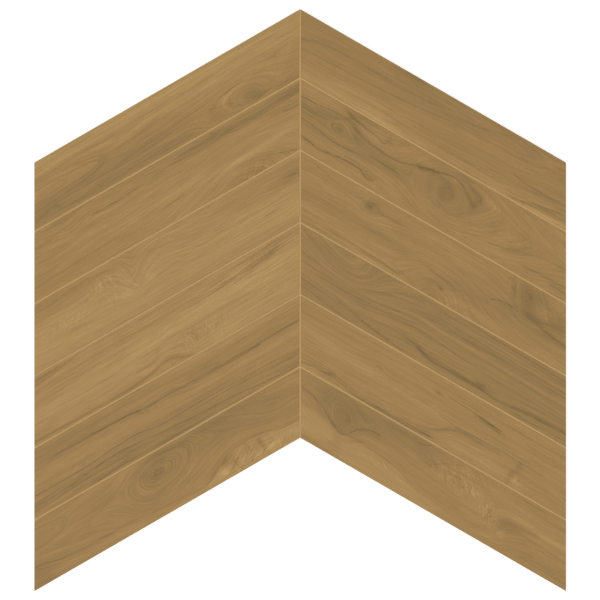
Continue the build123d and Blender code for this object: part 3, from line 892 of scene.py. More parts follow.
def right_3(p):
    p.clear(
        (172, 60, 24, 12, -0.35), (300, 14, 20, 18, -0.3), (213, 42, 14, 24, 0.35), (240, 5, 14, 6, 0.4),
        (133, 47, 16, 7, -0.4), (254, 25, 14, 8, -0.25),
    )
    p.tones(
        (336, 12, 9, 7, 4), (318, 31, 20, 2.5, -5), (277, 8, 5, 10, 4), (298, 22, 6, 8, 3),
        (286, 40, 24, 2.5, -3), (93, 13, 6, 4, -3), (241, 22, 26, 5, -4), (205, 40, 16, 4, -4),
        (136, 61, 12, 4, -4), (32, 56, 40, 2.5, -3), (325, 15, 9, 8, -5), (77, 18, 8, 3, 4),
        (277, 31, 12, 3, 4), (200, 61, 10, 5, 4), (286, 6, 4, 8, 4), (173, 52, 6, 4, 3),
        (91, 14.5, 4.4, 2.6, -9, 20), (325, 43, 30, 3.5, -6), (330, 57, 26, 4, 5), (280, 37, 22, 3, -4),
        (90, 66.5, 24, 2, 4), (12, 56, 26, 2.5, -4),
    )
    p.flow(
        [(0, 15), (60, 14), (92, 15), (140, 15), (220, 13), (258, 12), (280, 20), (300, 28), (320, 26),
         (346, 20)],
        [(0, 38), (60, 34), (150, 38), (200, 42), (240, 42), (262, 33), (291, 31), (316, 37), (346, 43)],
        [(0, 54), (60, 55), (100, 56), (135, 63), (160, 64), (178, 54), (205, 47), (240, 47), (290, 53),
         (346, 64)],
    )
    p.eye(92.5, 14.2, 15, 8, 5, 0.25, turn=8, shade=1)
    p.tones((93, 14, 8.5, 5, -9, 14, 2), (90.5, 14.8, 2.6, 1.8, -10, 20), (100, 8.5, 7, 3, -8, 20))
    p.band([(80, 16), (84, 10.5), (92, 7.5)], 1.0, 6, tail=3)
    p.band([(98, 16), (118, 15.5), (136, 15)], 2, -9, tail=8)
    p.vein([(14, 1.6), (38, 8.3), (68, 11.3), (83, 10.6)], 0.8, 8, halo=2)
    p.vein([(0, 15), (50, 15), (78, 19)], 0.9, 4)
    p.band([(60, 14.5), (82, 15.5)], 1.1, 7, tail=8)
    p.band([(70, 17), (80, 21), (94, 22.5)], 0.9, 5, tail=5)
    p.band([(60, 25), (90, 28), (140, 26)], 3, 4)
    p.band([(0, 38), (60, 35), (150, 38)], 4, -5)
    p.band([(0, 47), (80, 47), (140, 50)], 3, 4)
    p.vein([(0, 54.4), (45, 53.8), (86, 54.6), (126, 59), (150, 67)], 0.8, 8, halo=1)
    p.tones((20, 54, 60, 4, 5), (70, 60, 60, 5, 4), (10, 65, 40, 4, -6), (15, 19, 40, 5, 4))
    p.vein([(30, 60.6), (68, 60.8), (112, 62.6), (135, 66)], 0.9, 12, halo=3)
    p.patch(101, 62, 17, 1.8, -7)
    p.band([(0, 57.6), (70, 57.4), (120, 61)], 1.4, 7)
    p.band([(0, 64), (60, 64), (90, 66)], 2.0, 7)
    p.eye(172, 74, 36, 28, 18, 0.25, turn=10)
    p.patch(172, 61, 15, 8, -5, turn=30)
    p.vein([(153, 40), (167, 41.4), (180, 43.5), (194, 44.5), (205, 48)], 1.0, 9, halo=4, tail=6)
    p.vein([(190, 47), (200, 51), (206, 47)], 0.9, 8, tail=2)
    p.tones((183.5, 54.6, 2.6, 1.8, -12), (180, 52, 26, 6, -3))
    p.vein([(176, 50), (181, 53), (186, 57)], 1.0, 11, tail=3)
    p.patch(170, 53, 8, 2.6, -6, turn=20)
    p.band([(176, 62), (188, 55), (200, 52), (206, 48)], 0.9, 8, tail=3)
    p.band([(160, 62), (168, 57), (180, 57)], 1.0, 6, tail=3)
    p.vein([(158, 67), (164, 59.5), (174, 56.5)], 0.8, 7, tail=3)
    p.patch(230, 42, 24, 5, -5)
    p.vein([(242, 43.5), (244, 40), (251, 35.6), (264, 32), (278, 31.5)], 0.9, 11, halo=2, tail=1)
    p.vein([(256, 34), (291, 30.4), (316, 36.5), (346, 43)], 0.9, 6, halo=3, tail=8)
    p.vein([(262, 35), (290, 33.5), (320, 39), (346, 41)], 0.8, 7, tail=10)
    p.band([(290, 33), (304, 32), (318, 36), (346, 40)], 4, -7, tail=12)
    p.band([(200, 47), (240, 44), (300, 50), (346, 62)], 2, -3)
    p.eye(297, 14, 17, 21, 12, 0.15, heart=(301, 12), shade=3)
    p.tones(
        (290, 28, 16, 5, -6), (328, 27, 22, 4, -5), (90, 66.5, 26, 2, 5), (330, 62, 26, 4, 4),
        (280, 12, 7, 12, -6), (315, 8, 9, 9, -7), (338, 30, 16, 4, -7), (200, 39, 16, 4, -5),
        (215, 57, 14, 3, 4), (298, 13, 13, 17, -7), (297, 14, 7, 11, -4, 0, 2), (301.3, 11.5, 3, 3.4, -9),
        (280, 13, 12, 14, -6), (298, 23, 8, 8, -4), (284, 15, 1.2, 12, 3, 6), (288, 21, 1.2, 7, 3, -14),
        (278, 10, 1.6, 9, -4), (340, 22, 14, 8, -8), (230, 52, 40, 4, -3), (300, 34, 24, 6, -5),
    )
    p.curls(276, 12, 12, 14, 0, 6)
    p.curls(322, 18, 16, 12, 35, 9)
    p.tones(
        (318, 14, 12, 12, -5), (317, 20, 7, 1.2, 8, 40), (317, 23, 5, 1.0, 9, -40),
        (310, 21, 4, 1.0, 6, -60), (338, 14, 10, 7, -4),
    )
    p.band([(150, 10), (250, 11)], 3, 3)
    p.band([(150, 26), (240, 20)], 4, 3)
    p.band([(200, 62), (250, 60), (346, 66)], 5, 4)


def right_4(p):
    p.clear(
        (170, 34, 300, 90, -0.1), (15, 7, 18, 9, 0.5), (56, 27, 14, 8, 0.35), (172, 6, 14, 8, 0.35),
        (190, 36, 130, 7, -0.35), (222, 60, 16, 7, -0.35), (340, 6, 14, 9, -0.5), (75, 10, 20, 6, -0.25),
    )
    p.tones(
        (215, 17, 50, 1.6, 4), (215, 23, 50, 1.6, -4), (215, 29.5, 50, 1.6, 4), (36, 5, 12, 3, -4),
        (73, 12, 12, 4, 3), (209, 26, 40, 3, 3), (150, 49, 12, 3, 4), (59, 54, 16, 3, 3),
        (159, 41, 24, 3, -3),
    )
    p.rings += 0.8
    p.flow(
        [(0, 20), (14, 25), (45, 28), (65, 27), (83, 23.5), (97, 19.5), (126, 13.8), (162, 11.8), (203, 13),
         (346, 15)],
        [(0, 30), (22, 34), (60, 35), (80, 34), (97, 31), (117, 27), (135, 25.5), (158, 25.5), (203, 26),
         (346, 27)],
        [(0, 38), (27, 37), (95, 37), (117, 34), (144, 33), (171, 35.5), (203, 38), (237, 38), (346, 41)],
        [(0, 52), (43, 53), (90, 57), (158, 57), (203, 59), (237, 59.5), (248, 61), (282, 58.5), (346, 55)],
    )
    p.eye(60, -3, (56, 38), 24, 26, 0.9, tip=0.85)
    p.tones((230, 8, 150, 10, -2), (20, 33, 60, 5, 3), (30, 14, 60, 7, -2), (170, 55, 60, 4, -3))
    p.vein(
        [(0, 26), (45, 30.5), (79, 29), (101, 23), (135, 16), (180, 14), (270, 15), (346, 17)],
        1.0, 7, halo=2,
    )
    p.vein([(0, 35), (60, 37), (100, 34), (150, 29), (220, 30), (346, 32)], 0.9, 7, halo=2)
    p.vein([(20, 41), (110, 39.5), (150, 37), (220, 41), (346, 44)], 0.8, 8, halo=2)
    p.vein([(150, 3), (230, 2.5), (346, 5)], 0.8, 7, halo=1)
    p.vein([(140, 8), (220, 7), (346, 9)], 0.8, 7, halo=1)
    p.vein([(190, 21), (270, 20), (346, 22)], 0.9, 8, halo=2)
    p.vein([(120, 47), (220, 48), (346, 50)], 0.7, 5, halo=1)
    p.band([(60, 33), (97, 31), (135, 25.5), (203, 26), (346, 27)], 1.2, 7, tail=30)
    p.band([(0, 38), (95, 37), (117, 34), (144, 33), (203, 38)], 1.0, 5)
    p.band([(110, 17), (150, 12), (220, 13), (346, 14)], 1.0, 5)
    p.band([(200, 10.5), (262, 10), (300, 11)], 0.9, 6)
    p.vein(
        [(130, 51), (148, 53), (160, 57), (172, 60), (203, 59), (237, 59.5), (248, 62), (282, 59),
         (316, 56), (346, 55)],
        1.3, 8, halo=5,
    )
    p.tones((157, 54.5, 9, 3.2, -10, -25), (205, 60, 50, 2.6, -5))
    p.vein([(160, 61), (200, 61.5), (240, 60.6)], 0.8, 9, tail=12)
    p.vein([(250, 63.5), (290, 60), (320, 58), (346, 57)], 0.8, 9, tail=12)
    p.vein([(270, 65), (346, 63.4)], 0.8, 9, halo=1)
    p.patch(236, 57, 7, 4.5, -9)
    p.band([(175, 54.5), (230, 55)], 1.6, 7, tail=8)
    p.band([(256, 57), (300, 53), (346, 51)], 1.4, 6, tail=8)
    p.vein([(43, 52), (60, 55), (90, 61), (135, 66)], 0.8, 11, halo=2)
    p.vein([(0, 52), (40, 56), (79, 61), (120, 66)], 0.8, 9, halo=2)
    p.vein([(0, 60), (60, 66)], 0.8, 8)
    p.vein([(100, 50), (135, 52)], 0.7, 7)
    p.vein([(262, 13.5), (277, 13.5)], 0.7, 11, tail=4)
    p.patch(179, 10.5, 2.5, 1.5, -8)


def right_5(p):
    p.clear(
        (170, 34, 300, 90, -0.06), (20, 17, 20, 7, -0.4), (98, 4, 20, 6, -0.3), (157, 8, 10, 12, -0.3),
        (82, 44, 30, 5, -0.3), (188, 50, 16, 6, -0.35), (14, 60, 12, 8, 0.3), (54, 62, 12, 6, 0.4),
        (168, 36, 20, 6, 0.25), (285, 26, 26, 12, 0.25), (250, 60, 16, 8, 0.35),
    )
    p.tones(
        (283, 45, 9, 2.4, -4, 62), (272, 58, 9, 2.2, -5, 62), (281, 56, 10, 2, 4, 62), (340, 15, 14, 3, 3),
        (247, 18.8, 15, 2.4, -4, -6), (181, 14.5, 10, 3, -3), (284, 50, 6, 6, -2), (342, 48, 8, 5, -4),
        (155, 60, 14, 3, 4), (250, 20, 14, 3, 3), (272, 58, 4, 6, 3), (59, 61, 20, 3, -3),
        (152, 61, 10, 3, 4), (12, 55, 20, 5, -3), (280, 54, 7, 6, -3),
    )
    p.flow(
        [(0, 13), (80, 12), (180, 15), (260, 18), (346, 17)],
        [(0, 31), (90, 29.5), (103, 24.5), (112, 28), (150, 29), (346, 31)],
        [(0, 38), (100, 36), (180, 38), (289, 38.5), (346, 40)],
        [(0, 62), (45, 60.5), (68, 64), (135, 61.5), (160, 60), (180, 54), (192, 48), (217, 44),
         (262, 42.5), (346, 45)],
    )
    p.band([(0, 33), (150, 36), (200, 37)], 9, 4)
    p.band([(100, 29), (180, 30), (346, 20)], 6, -4)
    p.tones((280, 55, 30, 10, -3), (115, 37, 40, 4, 5), (198, 51, 22, 4, -3))
    p.vein([(0, 13), (80, 12), (160, 9), (260, 9), (346, 11)], 0.8, 6, halo=2)
    p.vein([(0, 6), (120, 5), (260, 3), (346, 5)], 0.7, 4)
    p.patch(180.5, 16.6, 4.5, 1.8, -13)
    p.vein([(193, 15.6), (215, 15.8), (237, 17), (264, 19.4)], 0.9, 15, halo=1, tail=4)
    p.patch(246, 18.4, 18, 1.9, -14, turn=-6, edge=2)
    p.vein([(226, 20), (245, 21), (263, 22.6)], 0.8, 14, halo=1, tail=4)
    p.vein(
        [(75, 29.4), (90, 28.6), (98, 27), (103, 23.5), (108, 27), (116, 28.8), (140, 27.6)],
        0.8, 7, tail=10,
    )
    p.patch(103, 26, 2.4, 3, -6)
    p.vein([(96, 31), (100, 28)], 0.7, 6, tail=2)
    p.vein([(180, 38), (194, 39.2), (239, 39), (293, 38.4), (318, 39.8)], 0.8, 16, halo=1, tail=4)
    p.band(
        [(146, 61), (160, 59), (180, 54), (192, 47.5), (207, 44), (240, 42.5), (262, 41)],
        2.2, -9, tail=6,
    )
    p.vein([(150, 60), (172, 55.5), (186, 50), (194, 46.5), (207, 43.4), (240, 43)], 0.9, 6, tail=8)
    p.patch(160, 62, 14, 3, -6)
    p.vein(
        [(0, 63.5), (40, 62), (56, 63.4), (74, 66.4), (100, 65), (147, 64.2), (174, 64)],
        0.9, 15, halo=3, tail=4,
    )
    p.vein([(60, 65), (90, 67), (140, 66.6), (172, 64.6)], 0.8, 10, halo=2, tail=5)
    p.vein([(15, 62.5), (32, 61), (40, 58), (46, 56.6)], 0.9, 10, halo=2, tail=5)
    p.tones((38, 60, 10, 2.4, -6, 15), (138, 61, 9, 2, -7), (162, 61.5, 16, 2.6, -3))
    p.band([(60, 67), (140, 67), (175, 66)], 2.0, -6)
    p.vein([(0, 55), (70, 54)], 0.7, 7, halo=1)
    p.tones((285, 46, 11, 3, -10, 62, 2), (273, 59, 11, 2.6, -8, 62, 2), (279, 58, 14, 2.6, 7, 62, 2))
    p.vein([(275, 40.6), (293, 38.6)], 1.0, 8, tail=4)
    p.vein([(290, 17), (320, 18.5), (343, 15)], 0.8, 8)
    p.vein([(340, 49), (346, 50)], 1.2, 14, tail=2)
    p.curls(280, 62, 10, 6, 0, 8)
    p.patch(240, 57, 50, 8, 3)
    for v in (52, 56.5, 61):
        p.band([(180, v + 1), (230, v - 1), (300, v + 1)], 0.9, 4, tail=20)


def right_6(p):
    p.clear(
        (18, 46, 26, 12, -0.55), (56, 22, 14, 12, -0.3), (170, 34, 300, 90, -0.1), (12, 12, 22, 14, -0.4),
        (84, 5, 12, 6, -0.3), (125, 8, 26, 12, -0.35), (50, 38, 12, 8, -0.3), (225, 63, 20, 5, -0.4),
        (310, 9, 40, 10, -0.35), (220, 20, 50, 12, 0.3), (122, 52, 12, 8, 0.3), (15, 60, 24, 8, -0.25),
    )
    p.tones(
        (205, 20, 7, 3, -3), (215, 27, 6, 4, -2), (168, 20, 8, 4, -3), (240, 36, 5, 6, -3),
        (50, 39, 14, 3, 3), (22, 20, 20, 4, -2), (258, 49, 5, 4, 3), (240, 26, 10, 5, 2),
        (177, 19, 8, 4, -3), (239, 32, 7, 5, -3), (227, 23, 8, 3, 3), (84, 5, 14, 4, 3),
        (20, 44, 20, 4, -3), (164, 23, 8, 4, -4), (198, 25, 10, 4, -3), (52, 28, 10, 12, 4),
        (86, 19, 10, 4, 3), (186, 12, 14, 3, 4), (257, 10, 16, 5, 4), (218, 53, 20, 4, 3),
        (73, 48, 26, 3, -3), (53, 20, 10, 6, 4), (96, 26.5, 14, 3, -5), (163, 20, 8, 4, -5),
        (195, 23, 8, 5, -5),
    )
    p.flow(
        [(0, 6), (40, 4), (60, 2), (100, 4), (160, 12), (190, 14), (230, 14), (346, 18)],
        [(0, 17), (22, 22), (36, 31), (50, 40), (70, 37), (95, 39), (146, 49), (200, 54), (240, 56),
         (258, 48), (268, 38), (290, 33), (346, 31)],
        [(0, 60), (60, 58), (160, 62), (235, 63), (262, 54), (290, 42), (346, 42)],
    )
    p.tones((110, 7, 100, 12, -8), (66, 18, 40, 16, -4))
    p.band([(90, 28), (160, 36), (220, 44)], 9, -3)
    p.eye(55, 22, 22, 18, 12, 0.35, heart=(56, 24), shade=1)
    p.tones((55.5, 23.5, 10, 8.5, -4, 10, 2), (55, 21, 32, 18, -9, 0, 2), (53, 35, 13, 5, -4, 0, 2))
    p.band([(42, 21), (52, 15.5), (63, 17), (69, 25)], 1.2, 6, tail=4)
    p.band([(48, 27), (52, 19.5), (60, 19.6), (63, 25)], 0.9, 6, tail=2)
    p.band([(50, 29), (56, 30.5), (63, 27)], 0.9, 6, tail=2)
    p.tones((12, 47, 34, 13.5, 9, 0, 4), (20, 34, 26, 5, -4))
    p.below([(48, 46), (100, 48), (180, 60)], 5, soft=4)
    p.vein([(0, 17), (22, 22), (34, 29), (42, 36), (50, 40.4), (58, 40)], 1.1, 11, halo=4, tail=4)
    p.vein([(50, 40.4), (74, 38), (97, 40.2), (126, 43.6), (147, 51)], 0.8, 11, halo=2, tail=4)
    p.vein([(62, 37), (72, 30), (79, 25.6), (90, 22.2), (106, 21)], 1.0, 10, halo=4, tail=4)
    p.patch(50, 38, 10, 4, -8)
    p.vein([(44, 40), (46, 48)], 0.8, 8, tail=2)
    p.curls(176, 20, 13, 7, 45, 26)
    p.curls(206, 23, 28, 7, 20, 29)
    p.curls(242, 36, 11, 14, 0, 26, glow=1)
    p.curls(228, 46, 16, 4, 15, 10)
    p.curls(102, 48, 24, 4, 25, 11, glow=1)
    p.curls(222, 9, 26, 6, 30, 10)
    p.tones(
        (165, 13, 16, 6, -5), (90, 23, 16, 4, -2), (130, 5, 22, 4, -5), (272, 42, 18, 5, -6),
        (145, 46, 60, 5, 4), (250, 60, 16, 4, 5), (75, 46, 30, 5, 3), (310, 29, 40, 3, 4),
        (206, 7, 18, 5, 6), (232, 20, 9, 2, 6), (260, 50, 2.2, 5.5, 10), (222, 22, 12, 2, -4, 20),
    )
    p.vein([(165, 24), (180, 16), (196, 9), (215, 3)], 1.0, 7, halo=2, tail=6)
    p.vein([(212, 11), (224, 5), (240, 1)], 0.8, 6, tail=4)
    p.vein([(150, 6), (163, 5), (172, 1)], 0.9, 10, tail=4)
    p.patch(158, 5, 10, 3, -6)
    p.band([(256, 48), (260, 40), (268, 34.5), (284, 31.5), (312, 30)], 2.4, -10, tail=3)
    p.vein([(266, 43), (277, 38.5), (304, 40), (346, 41)], 0.9, 7, halo=2, tail=3)
    p.patch(280, 36, 16, 4, -5)
    p.band([(265, 25), (346, 27)], 3, 7)
    p.tones((325, 62, 60, 8, -5), (130, 64, 60, 5, 5))
    p.vein([(290, 2), (305, 3.6), (320, 3)], 0.9, 9, halo=2, tail=4)
    p.vein([(300, 10), (346, 12)], 0.8, 6)


# Mean brightness of each plank, and what draws its figure
PLANKS = {
    (-1, 1): (134.6, left_1),
    (-1, 2): (133.9, left_2),
    (-1, 3): (139.1, left_3),
    (-1, 4): (139.7, left_4),
    (-1, 5): (131.0, left_5),
    (-1, 6): (130.6, left_6),
    (1, 1): (130.9, right_1),
    (1, 2): (129.6, right_2),
    (1, 3): (130.2, right_3),
    (1, 4): (126.2, right_4),
    (1, 5): (133.6, right_5),
    (1, 6): (131.6, right_6),
}
FIGURE_LAYERS = ("tone", "grain", "along", "rings", "vein_gap", "vein_ink", "ripple", "curl", "clarity")


def draw_figure(x, across):
    """The figure's layers at every point of the face, as one array for each layer."""
    side = np.where(x < 0, -1, 1)
    layers = {name: np.zeros_like(x) for name in FIGURE_LAYERS}
    for number, ((plank_side, course), (brightness, draw)) in enumerate(PLANKS.items()):
        start, end = plank_span(course)
        reach = joint_width / 2 + 0.01
        here = (side == plank_side) & (across >= start - reach) & (across < end + reach)
        plank = Figure(np.abs(x[here]) * across_to_along, across[here] - start, number)
        draw(plank)
        plank.tone += brightness - plank.tone.mean()
        plank.grain += grain_apart * number
        plank.along += along_apart * number
        for name in FIGURE_LAYERS:
            layers[name][here] = getattr(plank, name)
    return layers


# The tile's mesh

FACE, JOINT, EDGE, BACK = range(4)


def back_skin():
    """The keyed back, taken from the solid's own mesh."""
    skin = bmesh.new()
    skin.from_mesh(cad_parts["chevron_tile"].data)
    bmesh.ops.remove_doubles(skin, verts=skin.verts, dist=touching)
    above = [f for f in skin.faces if max(v.co.z for v in f.verts) > back_relief]
    bmesh.ops.delete(skin, geom=above, context="FACES")
    return skin


def split_rim(skin, rim):
    """Adds the rim's points to the back's outer boundary, so that the cut edges meet it point to point."""
    rim = np.array(rim)
    for edge in [e for e in skin.edges if e.is_boundary]:
        start = np.array(edge.verts[0].co)
        end = np.array(edge.verts[1].co)
        length = np.linalg.norm(end - start)
        direction = (end - start) / length
        offsets = rim - start
        places = offsets @ direction
        off_line = np.linalg.norm(offsets - np.outer(places, direction), axis=1)
        between_ends = (places > touching) & (places < length - touching)
        inner = np.sort(places[(off_line < touching * 5) & between_ends])
        done = 0.0
        vertex = edge.verts[0]
        for place in inner:
            edge, new = bmesh.utils.edge_split(edge, vertex, (place - done) / (length - done))
            if vertex in edge.verts:
                edge = next(e for e in new.link_edges if e.is_boundary and vertex not in e.verts)
            vertex = new
            done = place


def build_tile():
    """The tile's mesh: the face's grid, the cut edges below it and the solid's own back."""
    columns, rows = grid_columns(), grid_rows()
    x, across = np.meshgrid(columns, rows)
    y = point_y - across * across_to_along - np.abs(x) * slope
    y = np.where(across > width_across - touching, y - notch_fillet(x), y)
    z = face_heights(x, across)
    wide, tall = len(columns), len(rows)

    tile = bmesh.new()
    points = np.stack([x, y, z], -1).reshape(-1, 3) * MM
    face_verts = [tile.verts.new(p) for p in points]
    shallow = joint_lines()[-2] + 1e-3
    in_joint = (np.minimum(np.abs(x), joint_distance(across)) <= shallow).reshape(-1)
    for row in range(tall - 1):
        for column in range(wide - 1):
            corner = row * wide + column
            ring = (corner, corner + wide, corner + wide + 1, corner + 1)
            face = tile.faces.new([face_verts[i] for i in ring])
            joint = in_joint[list(ring)].all()
            face.material_index = JOINT if joint else FACE
            face.smooth = True

    top = list(range(wide))
    right = [row * wide + wide - 1 for row in range(1, tall)]
    bottom = [(tall - 1) * wide + column for column in range(wide - 2, -1, -1)]
    left = [row * wide for row in range(tall - 2, 0, -1)]
    loop = top + right + bottom + left
    glaze_z = (thickness - glaze_line) * MM
    lower = []
    rim = []
    for i in loop:
        px, py, _ = points[i]
        lower.append(tile.verts.new((px, py, glaze_z)))
        rim.append(tile.verts.new((px, py, 0)))
    for n, i in enumerate(loop):
        after = (n + 1) % len(loop)
        for one, two, three, four in (
            (face_verts[i], face_verts[loop[after]], lower[after], lower[n]),
            (lower[n], lower[after], rim[after], rim[n]),
        ):
            face = tile.faces.new([one, two, three, four])
            face.material_index = EDGE

    skin = back_skin()
    split_rim(skin, [v.co[:] for v in rim])
    copies = {v: tile.verts.new(v.co) for v in skin.verts}
    for f in skin.faces:
        face = tile.faces.new([copies[v] for v in f.verts])
        face.material_index = BACK
    skin.free()
    low_points = [v for v in tile.verts if v.co.z < back_relief]
    bmesh.ops.remove_doubles(tile, verts=low_points, dist=2 * touching)

    mesh = bpy.data.meshes.new("chevron_tile_glazed")
    tile.normal_update()
    tile.to_mesh(mesh)
    tile.free()
    crease = math.radians(42)
    mesh.set_sharp_from_angle(angle=crease)
    return mesh


def write_figure(mesh):
    """Stores the figure's layers on the mesh, for the face's material to read."""
    places = np.zeros(len(mesh.vertices) * 3)
    mesh.vertices.foreach_get("co", places)
    x, y, _ = places.reshape(-1, 3).T / MM
    across = (point_y - y - np.abs(x) * slope) / across_to_along
    layers = draw_figure(x, np.clip(across, 0, width_across))
    for name, values in layers.items():
        layer = mesh.attributes.new(name, "FLOAT", "POINT")
        layer.data.foreach_set("value", values.astype(np.float32))


def lay_out_map(mesh):
    """A map with the face large, the back small beside it and the cut edges as strips."""
    uv = mesh.uv_layers.new(name="OFBake")
    places = np.zeros(len(mesh.vertices) * 3)
    mesh.vertices.foreach_get("co", places)
    places = places.reshape(-1, 3) / MM
    face_scale = 0.9 / tile_length
    back_scale = 0.15 / (2 * half_width)
    back_start = 0.75
    margin = 0.012
    coordinates = np.zeros((len(mesh.loops), 2))
    side_x = 2 * half_width * face_scale + 2 * margin
    strip_wide = thickness * face_scale
    for polygon in mesh.polygons:
        loops = list(polygon.loop_indices)
        corners = places[[mesh.loops[i].vertex_index for i in loops]]
        kind = polygon.material_index
        if kind == BACK:
            u = side_x + margin + (half_width - corners[:, 0]) * back_scale
            v = back_start + (corners[:, 1] + tile_length / 2) * back_scale
        elif kind == EDGE:
            normal = polygon.normal
            strip, run = edge_strip(normal, corners)
            u = side_x + margin + strip * (strip_wide + margin) + corners[:, 2] * face_scale
            v = margin + run * face_scale
        else:
            u = margin + (corners[:, 0] + half_width) * face_scale
            v = margin + (corners[:, 1] + tile_length / 2) * face_scale
        coordinates[loops, 0] = u
        coordinates[loops, 1] = v
    uv.data.foreach_set("uv", coordinates.reshape(-1))
    uv.active_render = True


def edge_strip(normal, corners):
    """Which cut edge a face is on, from 0 to 5, and how far along it each corner lies."""
    if abs(normal.x) > 0.9:
        return (0 if normal.x < 0 else 1), tile_length / 2 + corners[:, 1]
    strip = 2 + (0 if normal.y > 0 else 2) + (0 if corners[:, 0].mean() < 0 else 1)
    return strip, np.abs(corners[:, 0]) * across_to_along


# Shader maths as Python expressions


class Signal:
    """A shader socket that arithmetic can be written on."""

    def __init__(self, maker, socket):
        self.maker, self.socket = maker, socket

    def maths(self, operation, *others):
        """A Math node on this socket and the others."""
        return self.maker.node("ShaderNodeMath", {"operation": operation}, dict(enumerate((self, *others))))

    def __add__(self, other):
        return self.maths("ADD", other)

    def __sub__(self, other):
        return self.maths("SUBTRACT", other)

    def __rsub__(self, other):
        return self.maker.node("ShaderNodeMath", {"operation": "SUBTRACT"}, {0: other, 1: self})

    def __mul__(self, other):
        return self.maths("MULTIPLY", other)

    def __truediv__(self, other):
        return self.maths("DIVIDE", other)

    def __rpow__(self, other):
        return self.maker.node("ShaderNodeMath", {"operation": "POWER"}, {0: other, 1: self})

    __radd__ = __add__
    __rmul__ = __mul__

    def clamp(self, least=0.0, most=1.0):
        return self.maths("MAXIMUM", least).maths("MINIMUM", most)

    def rise(self, start, end):
        """0 below start and 1 above end, with a smooth rise between them."""
        return self.maker.node(
            "ShaderNodeMapRange",
            {"interpolation_type": "SMOOTHSTEP"},
            {"Value": self, "From Min": start, "From Max": end},
        )


class Maker:
    """Makes the nodes of one material."""

    def __init__(self, name):
        self.material = bpy.data.materials.new(name)
        self.material.use_nodes = True
        self.tree = self.material.node_tree
        self.tree.nodes.clear()

    def node(self, kind, settings=None, values=None, out=0):
        """One node: its type, its settings, which are set first, the values or links of its sockets, and the
        output that is used."""
        made = self.tree.nodes.new(kind)
        for key, value in (settings or {}).items():
            if key == "stops":
                self.set_stops(made.color_ramp, value)
            else:
                setattr(made, key, value)
        for key, value in (values or {}).items():
            if isinstance(value, Signal):
                self.tree.links.new(value.socket, made.inputs[key])
            else:
                made.inputs[key].default_value = value
        return Signal(self, made.outputs[out]) if len(made.outputs) else made

    @staticmethod
    def set_stops(ramp, stops):
        while len(ramp.elements) < len(stops):
            ramp.elements.new(1.0)
        for element, (place, colour) in zip(ramp.elements, stops):
            element.position = place
            element.color = (*colour, 1.0)

    def layer(self, name):
        """One of the figure's layers."""
        return self.node("ShaderNodeAttribute", {"attribute_name": name}, out=2)

    def noise(self, x, y, z=0.0, detail=2.0, roughness=0.5):
        """Noise from -0.5 to 0.5 at the place given by three values."""
        place = self.node("ShaderNodeCombineXYZ", {}, {0: x, 1: y, 2: z})
        values = {"Vector": place, "Scale": 1.0, "Detail": detail, "Roughness": roughness}
        return self.node("ShaderNodeTexNoise", {"noise_dimensions": "3D"}, values) - 0.5

    def spots(self, place, scale, detail):
        """Noise from -0.5 to 0.5 at a place on the object."""
        return self.node("ShaderNodeTexNoise", {}, {"Vector": place, "Scale": scale, "Detail": detail}) - 0.5

    def ramp(self, stops, place):
        return self.node("ShaderNodeValToRGB", {"stops": stops}, {"Fac": place})

    def bump(self, strength, distance, height):
        return self.node("ShaderNodeBump", {}, {"Strength": strength, "Distance": distance, "Height": height})

    def mix(self, share, first, second):
        """The first colour, and as much of the second as the share says."""
        values = {"Factor": share, 6: first, 7: second}
        return self.node("ShaderNodeMix", {"data_type": "RGBA"}, values, out=2)

    def finish(self, **values):
        """The glazed or fired surface, from the principled shader's values named as its sockets are."""
        named = {key.replace("_", " ").title(): value for key, value in values.items()}
        named = {key.replace("Ior", "IOR"): value for key, value in named.items()}
        surface = self.node("ShaderNodeBsdfPrincipled", {}, named)
        self.node("ShaderNodeOutputMaterial", {}, {"Surface": surface})
        return self.material


# Light in the studio, as it falls on the flat tile, and the haze that the glaze adds to it. A pigment is
# worked out from both so that it is seen as the colour given.
studio_light = 0.90
glaze_haze = 0.026


def linear(value):
    """A step of brightness out of 255 as an amount of light."""
    value /= 255
    return value / 12.92 if value <= 0.04045 else ((value + 0.055) / 1.055) ** 2.4


def pigment(red, green, blue):
    return tuple((linear(value) - glaze_haze) / studio_light for value in (red, green, blue))


# The print's inks, from the darkest vein to the palest fleck, each with its brightness
PRINT_INKS = [
    (100, (119, 97, 64)),
    (117, (139.5, 113.5, 74.3)),
    (131.5, (158.8, 127.4, 82.8)),
    (145, (174, 140.5, 92.3)),
    (158, (191, 156, 106)),
]
JOINT_TAN = (190, 160, 112)


